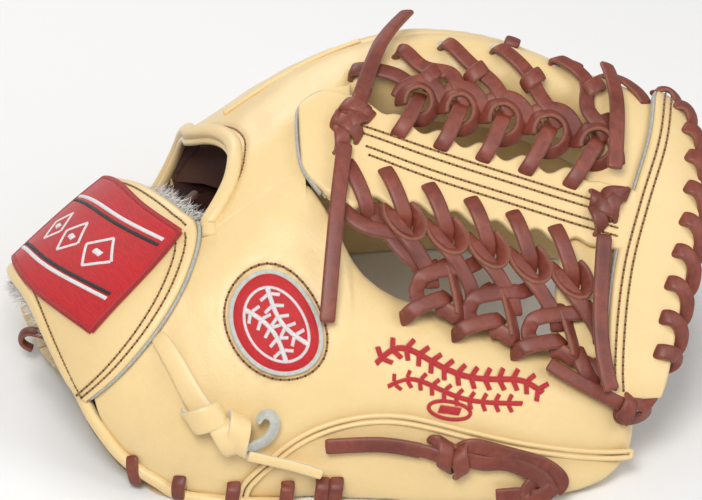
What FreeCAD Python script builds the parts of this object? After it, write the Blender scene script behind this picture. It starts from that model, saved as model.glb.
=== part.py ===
"""Fielder's glove for the left hand, lying pocket down: padded leather shells, palm, web and lacing.

+X runs along the thumb and the web's spine, from the wrist to the web's top bar. +Z is up, out of
the back of the hand. The thumb is on the -Y side. The origin is under the ball pocket, on the
surface that the glove lies on. Units are millimetres.
"""
import FreeCAD, Part
import math
import os

Vector = FreeCAD.Vector

# Driving dimensions
LEATHER = 3.0          # shell leather with its lining
PALM_THICK = 5.0       # palm leather, felt and lining
STALL_WALL = 5.0       # stall leather and padding
LACE_WIDE = 6.4
LACE_THICK = 2.4
GAP = 0.5              # clearance between neighbouring pieces
FLOOR = 1.0            # height of the resting plane in the tables below
FOLD_U = 2.35          # station where the thumb starts to fold
KNUCKLE_U = 3.02       # station where the finger stalls start

# The back of the glove as a lofted arch. Each row runs from the wrist to the fingertips at
# stations 0 to 7; the rows go from the thumb's lower edge over the top to the little finger's.
BACK = [
    [(-108, -54, 14), (-90, -64, 7), (-60, -76, 4), (-20, -79, 4),
     (20, -81, 4), (62, -82, 4), (103, -72, 7), (136, -56, 14)],
    [(-118, -42, 34), (-98, -58, 34), (-62, -70, 34), (-20, -68, 40),
     (20, -66, 41), (62, -68, 36), (106, -59, 27), (138, -48, 27)],
    [(-127, -27, 44), (-104, -40, 56), (-64, -44, 68), (-20, -43, 76),
     (20, -41, 71), (62, -44, 58), (106, -47, 45), (141, -38, 40)],
    [(-133, -12, 49), (-107, -12, 67), (-66, -10, 88), (-24, 8, 111),
     (20, 4, 105), (64, 0, 91), (108, -6, 78), (145, -4, 66)],
    [(-137, 4, 50), (-108, 14, 69), (-67, 24, 94), (-24, 36, 119),
     (20, 42, 130), (64, 40, 125), (114, 36, 110), (146, 34, 88)],
    [(-138, 18, 46), (-107, 36, 66), (-67, 52, 90), (-24, 64, 116),
     (22, 70, 131), (66, 68, 126), (116, 60, 106), (146, 56, 88)],
    [(-138, 33, 38), (-105, 56, 59), (-66, 80, 77), (-24, 92, 99),
     (22, 98, 110), (68, 96, 104), (116, 84, 82), (144, 78, 66)],
    [(-138, 43, 29), (-103, 74, 42), (-66, 100, 54), (-24, 112, 74),
     (22, 118, 82), (68, 115, 74), (110, 101, 54), (136, 94, 44)],
    [(-138, 50, 14), (-100, 84, 8), (-66, 104, 5), (-24, 114, 4),
     (22, 118, 4), (64, 115, 4), (98, 102, 7), (124, 96, 8)],
]
# The pocket side of the glove, with the same rows and stations.
FRONT = [
    [(-108, -54, 10), (-90, -64, 3), (-60, -74, 1), (-20, -56, 2),
     (20, -55, 2), (62, -56, 2), (100, -50, 4), (130, -40, 8)],
    [(-110, -40, 8), (-93, -46, 4), (-61, -56, 9), (-20, -43, 27),
     (20, -42, 28), (62, -43, 24), (100, -38, 18), (130, -32, 18)],
    [(-113, -22, 7), (-96, -26, 7), (-62, -34, 23), (-20, -22, 56),
     (20, -20, 52), (62, -22, 40), (102, -28, 30), (134, -24, 28)],
    [(-118, -4, 7), (-98, -4, 12), (-63, -8, 36), (-21, 16, 80),
     (20, 12, 80), (64, 8, 68), (106, 2, 56), (140, 2, 46)],
    [(-127, 12, 7), (-99, 16, 15), (-64, 16, 42), (-22, 40, 89),
     (20, 45, 101), (64, 43, 97), (110, 40, 84), (140, 38, 66)],
    [(-132, 24, 7), (-100, 34, 15), (-64, 40, 41), (-22, 58, 88),
     (20, 63, 103), (64, 62, 98), (110, 56, 82), (138, 52, 64)],
    [(-136, 34, 8), (-100, 54, 11), (-64, 64, 30), (-22, 74, 74),
     (20, 78, 85), (66, 77, 79), (110, 68, 60), (136, 64, 48)],
    [(-139, 43, 9), (-100, 70, 7), (-64, 84, 16), (-22, 86, 60),
     (20, 91, 66), (64, 90, 60), (104, 80, 44), (130, 76, 30)],
    [(-139, 50, 10), (-100, 84, 3), (-66, 100, 1), (-24, 90, 2),
     (22, 94, 2), (64, 92, 2), (94, 84, 4), (120, 80, 6)],
]

def curvatures(values):
    """Second derivatives of the natural cubic spline through values one unit apart."""
    count = len(values)
    upper, right = [0.0] * count, [0.0] * count
    for i in range(1, count - 1):
        pivot = 4.0 - upper[i - 1]
        upper[i] = 1.0 / pivot
        bend = 6.0 * (values[i - 1] - 2 * values[i] + values[i + 1])
        right[i] = (bend - right[i - 1]) / pivot
    result = [0.0] * count
    for i in range(count - 2, 0, -1):
        result[i] = right[i] - upper[i] * result[i + 1]
    return result


def spline_at(values, bends, t):
    i = max(0, min(len(values) - 2, int(math.floor(t))))
    b = t - i
    a = 1.0 - b
    return (a * values[i] + b * values[i + 1]
            + (a ** 3 - a) / 6 * bends[i] + (b ** 3 - b) / 6 * bends[i + 1])


class Skin:
    """A smooth sheet through a net of points; u counts stations and v counts rows."""

    def __init__(self, rows):
        placed = [[(x, y, z - FLOOR) for x, y, z in row] for row in rows]
        self.rows = [[[p[k] for p in row] for k in range(3)] for row in placed]
        self.bends = [[curvatures(c) for c in row] for row in self.rows]
        self.known = {}

    def at(self, u, v):
        key = round(u, 4)
        if key not in self.known:
            across = []
            for k in range(3):
                line = [spline_at(r[k], b[k], u) for r, b in zip(self.rows, self.bends)]
                across.append((line, curvatures(line)))
            self.known[key] = across
        return Vector(*[spline_at(line, bend, v) for line, bend in self.known[key]])

    def normal(self, u, v):
        step = 0.02
        along = self.at(u + step, v) - self.at(u - step, v)
        over = self.at(u, v + step) - self.at(u, v - step)
        return along.cross(over).normalize()

    def off(self, u, v, height):
        """The point at that height outside the sheet."""
        return self.at(u, v) + self.normal(u, v) * height


back = Skin(BACK)
palm = Skin(FRONT)


def between(a, b, t):
    return tuple(x + (y - x) * t for x, y in zip(a, b))


def curve(points, closed=False):
    line = Part.BSplineCurve()
    line.interpolate(Points=points, PeriodicFlag=closed)
    return line.toShape()


def straight(a, b):
    return Part.LineSegment(a, b).toShape()


def one_solid(shape):
    solid = shape.Solids[0] if shape.Solids else Part.Solid(shape)
    if solid.Volume < 0:
        solid.reverse()
    return solid


def plate(sections, low, high, skin=back, points=9):
    """A curved plate between two heights. Each section runs over the skin from one (u, v) to another."""
    wires, tops, unders = [], [], []
    for a, b in sections:
        places = [between(a, b, i / (points - 1)) for i in range(points)]
        top = [skin.off(u, v, high) for u, v in places]
        under = [skin.off(u, v, low) for u, v in places]
        tops.append(curve(top))
        unders.append(curve(under))
        closing = [straight(top[-1], under[-1]), unders[-1], straight(under[0], top[0])]
        wires.append(Part.Wire([tops[-1]] + closing))
    sides = Part.makeLoft(wires, False, len(wires) == 2)
    caps = [Part.makeRuledSurface(tops[i], unders[i]) for i in (0, -1)]
    shell = Part.makeShell(sides.Faces + caps)
    shell.sewShape()
    return one_solid(Part.Solid(shell))


def flattened(points):
    """The points moved onto the plane that fits their ring best."""
    centre = Vector()
    for point in points:
        centre = centre + point * (1.0 / len(points))
    normal = Vector()
    for a, b in zip(points, points[1:] + points[:1]):
        normal = normal + (a - centre).cross(b - centre)
    normal.normalize()
    return [point - normal * (point - centre).dot(normal) for point in points]


def power(value, exponent):
    return math.copysign(abs(value) ** exponent, value)


def pad(sections, skin=back, points=18, fullness=2.6):
    """A padded tube. Each section is (start, end, low, high): its two edges on the skin and its heights."""
    wires = []
    for a, b, low, high in sections:
        ring = []
        for i in range(points):
            turn = 2 * math.pi * i / points
            share = 0.5 - 0.5 * power(math.cos(turn), 2 / fullness)
            rise = 0.5 + 0.5 * power(math.sin(turn), 2 / fullness)
            u, v = between(a, b, share)
            ring.append(skin.off(u, v, low + (high - low) * rise))
        wires.append(Part.Wire([curve(flattened(ring), True)]))
    return one_solid(Part.makeLoft(wires, True, False))


def stall(v_low, v_high, stations, wall):
    """A hollow padded stall, open at its base and closed at its tip. stations are (u, share of width)."""
    middle, half = (v_low + v_high) / 2, (v_high - v_low) / 2
    outer = [tube_ring(u, middle, half * share, 0.5 * (0.4 + 0.6 * share), 0) for u, share in stations]
    inner = [tube_ring(u, middle, half * share, 0.5 * (0.4 + 0.6 * share), wall)
             for u, share in stations[:-2]]
    inner.insert(0, tube_ring(stations[0][0] - 0.1, middle, half, 0.5, wall))
    shell = Part.makeLoft(outer, True, False)
    return one_solid(shell.cut(Part.makeLoft(inner, True, False)))


def tube_ring(u, middle, reach, deep, inset, points=16, fullness=3.0):
    """A closed ring between the glove's back and front skins, drawn in by inset."""
    wide = (back.at(u, middle - reach) - back.at(u, middle + reach)).Length
    thick = (back.at(u, middle) - palm.at(u, middle)).Length
    reach, deep = reach * (1 - 2.4 * inset / wide), deep - inset / thick
    ring = []
    for i in range(points):
        turn = 2 * math.pi * i / points
        v = middle - reach * power(math.cos(turn), 2 / fullness)
        share = 0.5 - deep * power(math.sin(turn), 2 / fullness)
        ring.append(back.at(u, v) * (1 - share) + palm.at(u, v) * share)
    return Part.Wire([curve(flattened(ring), True)])


def ribbon(route, wide=LACE_WIDE, thick=LACE_THICK, skin=back):
    """A flat lace lying along the skin. route holds (u, v, height of the lace's middle)."""
    centres = [skin.off(*place) for place in route]
    wires = []
    for i, (u, v, _) in enumerate(route):
        ahead = centres[min(i + 1, len(centres) - 1)] - centres[max(i - 1, 0)]
        side = ahead.cross(skin.normal(u, v)).normalize()
        up = side.cross(ahead).normalize()
        a, b = side * (wide / 2), up * (thick / 2)
        corners = [centres[i] + a + b, centres[i] - a + b, centres[i] - a - b, centres[i] + a - b]
        wires.append(Part.makePolygon(corners + corners[:1]))
    return one_solid(Part.makeLoft(wires, True, True))


def rounded_route(points):
    """Straight runs joined by tangent arcs, each as large as its two runs allow."""
    edges, start = [], points[0]
    for a, b, c in zip(points, points[1:], points[2:]):
        into, out = (b - a).normalize(), (c - b).normalize()
        cut = 0.45 * min((b - a).Length, (c - b).Length)
        first, last = b - into * cut, b + out * cut
        turn = into.getAngle(out)
        middle = b + (out - into).normalize() * (cut * math.tan(turn / 4))
        edges += [straight(start, first), Part.Arc(first, middle, last).toShape()]
        start = last
    return Part.Wire(edges + [straight(start, points[-1])])


def tail(route, wide=LACE_WIDE, thick=LACE_THICK, skin=back):
    """A lace's free end, lying over the skin."""
    centres = [skin.off(*place) for place in route]
    path = rounded_route(centres)
    ahead = (centres[1] - centres[0]).normalize()
    side = ahead.cross(skin.normal(route[0][0], route[0][1])).normalize()
    up = side.cross(ahead)
    a, b = side * (wide / 2), up * (thick / 2)
    corners = [centres[0] + a + b, centres[0] - a + b, centres[0] - a - b, centres[0] + a - b]
    profile = Part.makePolygon(corners + corners[:1])
    return one_solid(path.makePipeShell([profile], True, False))


def knot(u, v, height, long, wide, thick, skin=back, turn=0.0):
    """A knot in a flat lace, as one rounded lump."""
    centre, normal = skin.off(u, v, height), skin.normal(u, v)
    lump = Part.makeSphere(0.5)
    scale = FreeCAD.Matrix()
    scale.scale(long, wide, thick)
    shape = lump.transformGeometry(scale)
    along = (skin.at(u + 0.1, v) - skin.at(u - 0.1, v)).normalize()
    over = normal.cross(along).normalize()
    along = over.cross(normal).normalize()
    placing = FreeCAD.Matrix(along.x, over.x, normal.x, centre.x, along.y, over.y, normal.y, centre.y,
                             along.z, over.z, normal.z, centre.z, 0, 0, 0, 1)
    spin = FreeCAD.Rotation(Vector(0, 0, 1), turn).toMatrix()
    return one_solid(shape.transformGeometry(placing.multiply(spin)))


def loop_over(a, b, rise, sink, skin=back):
    """One lace turn that comes out of the leather at a and goes back in at b."""
    middle = between(a, b, 0.5)
    route = [(*a, sink), (*between(a, b, 0.12), rise * 0.7), (*middle, rise)]
    route += [(*between(a, b, 0.88), rise * 0.7), (*b, sink)]
    return ribbon(route, skin=skin)


STALL_STATIONS = [(0.0, 1.0), (0.15, 1.0), (0.3, 1.0), (0.45, 1.0), (0.6, 1.0), (0.74, 0.98), (0.86, 0.92),
                  (0.95, 0.76), (1.0, 0.5)]


def stations(start, end):
    return [(start + (end - start) * share, wide) for share, wide in STALL_STATIONS]


def strap_edge(v):
    """Station of the strap's finger-side edge at row v."""
    marks = [(1.15, 0.92), (1.6, 1.42), (2.0, 1.78), (2.4, 2.0), (2.85, 2.12), (3.2, 1.98),
             (3.8, 1.72), (4.9, 1.38), (5.6, 1.2), (6.5, 1.1), (7.8, 1.0)]
    for (v0, u0), (v1, u1) in zip(marks, marks[1:]):
        if v <= v1:
            return u0 + (u1 - u0) * (v - v0) / (v1 - v0)
    return marks[-1][1]


def rim_edge(v):
    """Station of the wrist opening's rim at row v."""
    return 0.86 - 0.8 * min(1.0, (v - 1.05) / 1.9) if v < 2.95 else 0.06


def wrist_strap():
    rows = [1.15, 1.6, 2.0, 2.4, 2.85, 3.2, 3.8, 4.9, 5.6, 6.5, 7.7]
    return plate([((rim_edge(v), v), (strap_edge(v), v)) for v in rows], 0.6, 3.5)


def back_panel():
    """Back of the hand between the strap, the thumb's fold and the finger stalls, with the finger hole."""
    rows = [2.12, 2.6, 3.1, 3.6, 4.2, 4.8, 5.4, 5.94]
    sheet = plate([((1.15 + 0.2 * (v - 2), v), (KNUCKLE_U - 0.06, v)) for v in rows], -LEATHER, 0)
    return one_solid(sheet.cut(finger_hole(11.5, 16.5, 30)))


def finger_hole(short, long, deep):
    centre, normal = back.at(2.14, 3.75), back.normal(2.14, 3.75)
    across = (back.at(2.14, 4.1) - back.at(2.14, 3.4)).normalize()
    oval = Part.Ellipse(centre + across * long, centre + across.cross(normal) * short, centre)
    face = Part.Face(Part.Wire([oval.toShape()]))
    face.translate(normal * (-deep / 2))
    return face.extrude(normal * deep)


def hole_rim():
    """Padded binding around the finger hole."""
    return one_solid(finger_hole(16, 21.5, 2.6).cut(finger_hole(11.5, 16.5, 5)))


def thumb_back_panel():
    """Back of the thumb's heel, from the strap to the fold."""
    rows = [0.22, 0.6, 1.0, 1.4, 1.8, 2.06]
    return plate([((max(0.95, 1.35 - v), v), (FOLD_U - 0.04, v)) for v in rows], -LEATHER, 0)


def pinky_back_panel():
    rows = [6.0, 6.4, 6.9, 7.4, 7.78]
    return plate([((1.2, v), (KNUCKLE_U - 0.06, v)) for v in rows], -LEATHER, 0)


def palm_panel():
    """Palm leather: the whole heel, and the pocket's floor up to the finger stalls."""
    spots = [0.12, 0.5, 1.0, 1.5, 2.0, FOLD_U - 0.06]
    heel = plate([((u, 0.14), (u, 7.86)) for u in spots], 0, PALM_THICK, palm, 17)
    spots = [FOLD_U - 0.1, 2.6, KNUCKLE_U - 0.06]
    pocket = plate([((u, 2.3), (u, 5.8)) for u in spots], 0, PALM_THICK, palm)
    return one_solid(heel.fuse(pocket))


def palm_lining():
    """Soft lining leather on the hand side of the palm."""
    rows = [2.7, 3.4, 4.2, 5.0, 5.6]
    return plate([((0.6, v), (2.85, v)) for v in rows], PALM_THICK + GAP, PALM_THICK + GAP + 1.5, palm)


def heel_pad(v_low, v_high, start, end):
    """Felt pad inside the heel, between palm and back."""
    low = PALM_THICK + GAP + 0.4
    cuts = [(start, 3.0), ((start + end) / 2, 7.0), (end, 4.0)]
    return pad([((u, v_low), (u, v_high), low, low + thick) for u, thick in cuts], palm)


def fleece_lining():
    """Wool pile inside the strap."""
    rows = [2.2, 2.8, 3.5, 4.3, 5.2, 6.0, 7.0]
    return plate([((rim_edge(v) + 0.1, v), (1.1, v)) for v in rows], -5.6, -0.3)


def edge_binding():
    """Rolled leather binding along the heel's thumb side."""
    route = [(0.1, 2.6), (0.35, 1.95), (0.62, 1.2), (0.84, 0.62), (1.2, 0.24), (1.7, 0.08), (2.25, 0.03)]
    points = [back.off(u, v, -0.6) for u, v in route]
    path = Part.Wire([curve(points)])
    ring = Part.Wire([Part.Circle(points[0], points[1] - points[0], 2.6).toShape()])
    return one_solid(path.makePipeShell([ring], True, True))


def web_spine():
    """The web's central panel, from the crotch to the top bar."""
    marks = [(3.12, 3.12, 3.5), (3.3, 2.78, 3.66), (3.7, 2.72, 3.52), (4.2, 2.78, 3.4),
             (4.8, 2.84, 3.37), (5.4, 2.88, 3.35), (5.95, 2.93, 3.35)]
    return plate([((u, low), (u, high)) for u, low, high in marks], 0.6, 5.2)


def web_top_bar():
    """The bar that joins the index finger's tip to the thumb's tip."""
    marks = [(1.62, 6.0, 6.46), (2.1, 6.0, 6.54), (2.7, 6.02, 6.62), (3.3, 6.1, 6.74),
             (3.9, 6.16, 6.74), (4.4, 6.18, 6.6), (4.86, 6.22, 6.36)]
    return plate([((start, v), (end, v)) for v, start, end in marks], 0.6, 5.0)


def web_backing():
    """Second web layer behind the spine, tied in by the laces."""
    marks = [(3.5, 2.98, 3.3), (4.3, 3.0, 3.22), (5.2, 3.02, 3.2), (5.92, 3.04, 3.2)]
    return plate([((u, low), (u, high)) for u, low, high in marks], -2.6, -0.1)


def web_post():
    """Leather post between the top bar and the thumb's tip, inside the web."""
    return plate([((5.42, 2.14), (5.72, 2.14)), ((5.46, 2.5), (5.76, 2.5)), ((5.5, 2.86), (5.8, 2.86))],
                 -3.4, -0.4)


def lace_row(places):
    return Part.makeCompound([loop_over(a, b, rise, sink) for a, b, rise, sink in places])


def spine_upper_laces():
    """Turns through the spine's upper edge."""
    return lace_row([((3.98 + 0.375 * i, 3.26), (4.1 + 0.375 * i, 3.52), 7.4, 6.6) for i in range(5)])


def spine_lower_laces():
    return lace_row([((3.52 + 0.37 * i, 2.96), (3.6 + 0.37 * i, 2.72), 7.4, 6.6) for i in range(6)])


def crossing_laces(starts, low, high, height, lean):
    """Strands that cross the gap beside the spine, one pair to each turn."""
    strands = []
    for u in starts:
        strands.append(ribbon([(u, low, height), (u + lean / 2, (low + high) / 2, height), (u + lean, high, height)]))
    return Part.makeCompound(strands)


def index_edge_laces():
    """Turns through the index finger's web edge."""
    return lace_row([((4.02 + 0.45 * i, 4.02), (3.96 + 0.45 * i, 4.24), 2.4, 1.6) for i in range(5)])


def thumb_edge_laces():
    """Turns through the thumb's web edge."""
    return lace_row([((3.6 + 0.52 * i, 1.98), (3.52 + 0.52 * i, 1.78), 2.4, 1.6) for i in range(4)])


def bar_edge_lace():
    """Spiral lace round the top bar's outer edge."""
    turns = []
    for i in range(9):
        v = 2.0 + 0.31 * i
        outer = 6.54 + 0.27 * math.sin(math.pi * (v - 1.6) / 3.6)
        turns.append(ribbon([(outer - 0.2, v, 6.6), (outer - 0.05, v - 0.03, 6.9), (outer + 0.1, v - 0.06, 6.4)]))
    return Part.makeCompound(turns)


def heel_laces():
    """Turns that join the palm and the back along the thumb's heel."""
    stops = (1.78, 2.34, 2.86, 3.18, 3.36)
    return Part.makeCompound([ribbon([(u, 0.04, 4.4), (u, 0.14, 3.2), (u, 0.26, 2.2)]) for u in stops])


def finger_laces(v, stops):
    """Lace turns across the back of two neighbouring finger stalls."""
    return Part.makeCompound([ribbon([(u, v - 0.14, 1.5), (u, v, 1.5), (u, v + 0.14, 1.5)]) for u in stops])


def oval_patch():
    """Embroidered oval badge on the thumb's base, lying in a stitched ring."""
    centre, normal = back.off(2.74, 1.83, 0.9), back.normal(2.74, 1.83)
    lean = (back.at(3.1, 1.36) - back.at(2.5, 2.12)).normalize()
    side = lean.cross(normal).normalize()
    normal = side.cross(lean).normalize()
    oval = Part.Ellipse(centre + lean * 22, centre + side * 14.5, centre)
    face = Part.Face(Part.Wire([oval.toShape()]))
    return one_solid(face.extrude(normal * (1.6 * (1 if normal.dot(back.normal(2.74, 1.83)) > 0 else -1))))


def strap_patch():
    """Woven label on the strap."""
    marks = [((0.1, 5.2), (1.17, 5.5)), ((0.18, 4.2), (1.34, 4.75)), ((0.3, 3.35), (1.56, 3.9)),
             ((0.62, 2.55), (1.78, 3.3)), ((1.08, 2.02), (1.98, 2.86))]
    return plate(marks, 4.05, 5.4)


def thumb_tie():
    """Thumb loop's pull strap, out through its slit and down to its knot."""
    return ribbon([(1.76, 1.8, 1.6), (1.88, 1.62, 2.0), (1.98, 1.46, 2.2), (2.06, 1.34, 2.4)], 9.5, 2.2)


def thumb_loop():
    """Loop inside the glove that holds the thumb."""
    low = PALM_THICK + GAP + 9.5
    return ribbon([(1.95, 1.0, low), (2.05, 1.4, low + 5), (2.1, 1.9, low + 6), (2.12, 2.4, low + 4)], 16, 2.2, palm)


def pinky_loop():
    low = PALM_THICK + GAP + 9.5
    return ribbon([(1.95, 6.9, low), (2.05, 6.6, low + 4), (2.1, 6.2, low + 5), (2.12, 5.9, low + 3)], 16, 2.2, palm)


def thumb_lace():
    """Lace along the thumb's back: its knot, the run to the tip and the turn back."""
    run = ribbon([(4.58, 0.56, 2.2), (4.85, 0.55, 2.4), (5.12, 0.48, 2.4), (5.34, 0.38, 2.4)])
    turned = ribbon([(5.3, 0.16, 2.6), (5.14, 0.14, 2.8), (4.92, 0.12, 2.8)])
    return Part.makeCompound([run, turned, knot(4.4, 0.54, 3.8, 13, 10, 6)])


def thumb_tip_lace():
    """The lace that comes down behind the top bar, knotted at the thumb's tip, with its cut end."""
    end = ribbon([(6.0, 1.38, 3.4), (5.84, 1.47, 3.4), (5.6, 1.62, 3.0), (5.34, 1.74, 2.6)])
    return Part.makeCompound([end, knot(6.16, 1.24, 4.6, 13, 12, 6.5)])


def thumb_tie_end():
    """Curled suede end of the thumb's pull strap."""
    return ribbon([(2.58, 0.78, 5.0), (2.68, 0.84, 5.2), (2.75, 0.93, 5.6), (2.75, 1.05, 6.0)], 6.6, 2.0)


FINGERS = {"index_stall": (4.05, 4.95, 6.45), "middle_stall": (5.05, 5.93, 6.5),
           "ring_stall": (6.09, 6.95, 6.42), "pinky_stall": (7.06, 7.96, 6.2)}


def build():
    nodes = {
        "back_panel": back_panel(),
        "finger_hole_rim": hole_rim(),
        "thumb_back_panel": thumb_back_panel(),
        "pinky_back_panel": pinky_back_panel(),
        "palm_panel": palm_panel(),
        "palm_lining": palm_lining(),
        "thumb_heel_pad": heel_pad(0.7, 2.1, 1.0, 2.2),
        "pinky_heel_pad": heel_pad(6.0, 7.3, 1.0, 2.2),
        "thumb_loop": thumb_loop(),
        "pinky_loop": pinky_loop(),
        "wrist_strap": wrist_strap(),
        "fleece_lining": fleece_lining(),
        "strap_patch": strap_patch(),
        "edge_binding": edge_binding(),
        "web_spine": web_spine(),
        "web_backing": web_backing(),
        "web_top_bar": web_top_bar(),
        "web_post": web_post(),
        "spine_upper_laces": spine_upper_laces(),
        "spine_lower_laces": spine_lower_laces(),
        "upper_crossing_laces": crossing_laces([4.12 + 0.45 * i for i in range(4)], 3.62, 3.94, 1.6, -0.12),
        "lower_crossing_laces": crossing_laces([3.66 + 0.42 * i for i in range(5)], 2.2, 2.6, 1.6, -0.12),
        "index_edge_laces": index_edge_laces(),
        "bar_edge_lace": bar_edge_lace(),
        "crotch_knot": knot(3.55, 3.2, 9.6, 15, 12, 7),
        "bar_knot": knot(5.83, 3.19, 9.6, 15, 12, 7),
        "crotch_tail_up": tail([(3.62, 3.46, 8), (3.74, 3.9, 8.8), (3.87, 4.4, 7.4), (4.05, 4.98, 7)]),
        "crotch_tail_down": tail([(3.48, 3.0, 9.4), (3.4, 2.66, 10.4), (3.3, 2.2, 8.5), (3.24, 1.8, 5.6)]),
        "bar_tail_up": tail([(5.84, 3.42, 9.5), (5.83, 3.75, 9), (5.78, 4.2, 7.2), (5.7, 4.72, 5.8)]),
        "bar_tail_down": tail([(5.8, 2.97, 9.6), (5.77, 2.5, 9.6), (5.79, 2.0, 9.4), (5.87, 1.66, 9)]),
        "finger_laces_near": finger_laces(5.0, (5.0, 5.5)),
        "heel_laces": heel_laces(),
        "thumb_tie": thumb_tie(),
        "thumb_tie_knot": knot(2.3, 0.98, 5.0, 21, 18, 8),
        "thumb_tie_end": thumb_tie_end(),
        "thumb_tie_tail": tail([(2.5, 0.66, 5.4), (2.7, 0.56, 5.2), (2.95, 0.45, 5.2), (3.22, 0.33, 5.4)], 4.4, 2.0),
        "thumb_stall": stall(0.03, 1.95, stations(FOLD_U, 6.2), STALL_WALL),
        "oval_patch": oval_patch(),
        "thumb_edge_laces": thumb_edge_laces(),
        "thumb_lace": thumb_lace(),
        "thumb_lace_tail": tail([(4.2, 0.56, 2.6), (3.95, 0.6, 2.8), (3.64, 0.61, 2.8), (3.24, 0.6, 2.6)]),
        "thumb_tip_lace": thumb_tip_lace(),
        "finger_laces_far": finger_laces(7.0, (4.7, 5.2)),
    }
    for name, (low, high, tip) in FINGERS.items():
        nodes[name] = stall(low, high, stations(KNUCKLE_U, tip), STALL_WALL)
    return nodes


def main():
    os.makedirs("parts", exist_ok=True)
    for old in os.listdir("parts"):
        os.remove(os.path.join("parts", old))
    for name, shape in build().items():
        if not all(solid.isValid() for solid in shape.Solids):
            print(name, "is not valid")
        shape.exportStep("parts/" + name + ".step")


main()
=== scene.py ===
"""The looks of the fielder's glove: leather shells, web, lacing, seams, patches and lining."""
import math

import bmesh
import bpy
import numpy as np
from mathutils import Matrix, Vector
from mathutils.bvhtree import BVHTree


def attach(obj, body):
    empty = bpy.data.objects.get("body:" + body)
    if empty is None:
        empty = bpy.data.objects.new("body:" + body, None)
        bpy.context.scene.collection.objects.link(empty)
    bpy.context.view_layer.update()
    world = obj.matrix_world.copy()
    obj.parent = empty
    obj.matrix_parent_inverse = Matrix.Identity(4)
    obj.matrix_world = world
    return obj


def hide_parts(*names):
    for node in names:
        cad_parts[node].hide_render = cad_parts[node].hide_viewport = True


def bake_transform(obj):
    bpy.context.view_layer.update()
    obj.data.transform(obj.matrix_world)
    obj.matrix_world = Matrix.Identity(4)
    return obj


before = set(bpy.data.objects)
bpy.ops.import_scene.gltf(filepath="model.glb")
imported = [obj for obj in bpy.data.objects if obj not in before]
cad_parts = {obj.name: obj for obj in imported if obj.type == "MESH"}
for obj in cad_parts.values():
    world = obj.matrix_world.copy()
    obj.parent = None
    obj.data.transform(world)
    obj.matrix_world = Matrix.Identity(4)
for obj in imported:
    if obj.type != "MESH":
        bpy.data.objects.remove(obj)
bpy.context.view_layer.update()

FLOOR = 1.0            # height of the surface the glove lies on, in the tables
LACE_WIDE, LACE_THICK = 6.4, 2.3
STITCH_PITCH = 3.3
JUST_ABOVE_FLOOR = 0.0003      # metres

# The same lofting tables as the CAD model, in millimetres: rows from the thumb's lower edge over
# the back to the little finger's, stations from the wrist to past the fingertips.
BACK = [
    [(-108, -54, 14), (-90, -64, 7), (-60, -76, 4), (-20, -79, 4),
     (20, -81, 4), (62, -82, 4), (103, -72, 7), (136, -56, 14)],
    [(-118, -42, 34), (-98, -58, 34), (-62, -70, 34), (-20, -68, 40),
     (20, -66, 41), (62, -68, 36), (106, -59, 27), (138, -48, 27)],
    [(-127, -27, 44), (-104, -40, 56), (-64, -44, 68), (-20, -43, 76),
     (20, -41, 71), (62, -44, 58), (106, -47, 45), (141, -38, 40)],
    [(-133, -12, 49), (-107, -12, 67), (-66, -10, 88), (-24, 8, 111),
     (20, 4, 105), (64, 0, 91), (108, -6, 78), (145, -4, 66)],
    [(-137, 4, 50), (-108, 14, 69), (-67, 24, 94), (-24, 36, 119),
     (20, 42, 130), (64, 40, 125), (114, 36, 110), (146, 34, 88)],
    [(-138, 18, 46), (-107, 36, 66), (-67, 52, 90), (-24, 64, 116),
     (22, 70, 131), (66, 68, 126), (116, 60, 106), (146, 56, 88)],
    [(-138, 33, 38), (-105, 56, 59), (-66, 80, 77), (-24, 92, 99),
     (22, 98, 110), (68, 96, 104), (116, 84, 82), (144, 78, 66)],
    [(-138, 43, 29), (-103, 74, 42), (-66, 100, 54), (-24, 112, 74),
     (22, 118, 82), (68, 115, 74), (110, 101, 54), (136, 94, 44)],
    [(-138, 50, 14), (-100, 84, 8), (-66, 104, 5), (-24, 114, 4),
     (22, 118, 4), (64, 115, 4), (98, 102, 7), (124, 96, 8)],
]
FRONT = [
    [(-108, -54, 10), (-90, -64, 3), (-60, -74, 1), (-20, -56, 2),
     (20, -55, 2), (62, -56, 2), (100, -50, 4), (130, -40, 8)],
    [(-110, -40, 8), (-93, -46, 4), (-61, -56, 9), (-20, -43, 27),
     (20, -42, 28), (62, -43, 24), (100, -38, 18), (130, -32, 18)],
    [(-113, -22, 7), (-96, -26, 7), (-62, -34, 23), (-20, -22, 56),
     (20, -20, 52), (62, -22, 40), (102, -28, 30), (134, -24, 28)],
    [(-118, -4, 7), (-98, -4, 12), (-63, -8, 36), (-21, 16, 80),
     (20, 12, 80), (64, 8, 68), (106, 2, 56), (140, 2, 46)],
    [(-127, 12, 7), (-99, 16, 15), (-64, 16, 42), (-22, 40, 89),
     (20, 45, 101), (64, 43, 97), (110, 40, 84), (140, 38, 66)],
    [(-132, 24, 7), (-100, 34, 15), (-64, 40, 41), (-22, 58, 88),
     (20, 63, 103), (64, 62, 98), (110, 56, 82), (138, 52, 64)],
    [(-136, 34, 8), (-100, 54, 11), (-64, 64, 30), (-22, 74, 74),
     (20, 78, 85), (66, 77, 79), (110, 68, 60), (136, 64, 48)],
    [(-139, 43, 9), (-100, 70, 7), (-64, 84, 16), (-22, 86, 60),
     (20, 91, 66), (64, 90, 60), (104, 80, 44), (130, 76, 30)],
    [(-139, 50, 10), (-100, 84, 3), (-66, 100, 1), (-24, 90, 2),
     (22, 94, 2), (64, 92, 2), (94, 84, 4), (120, 80, 6)],
]


def bend_matrix(count):
    """Takes values one unit apart to the second derivatives of their natural cubic spline."""
    left, right = np.eye(count), np.zeros((count, count))
    for i in range(1, count - 1):
        left[i, i - 1:i + 2] = (1, 4, 1)
        right[i, i - 1:i + 2] = (6, -12, 6)
    return np.linalg.solve(left, right)


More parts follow.
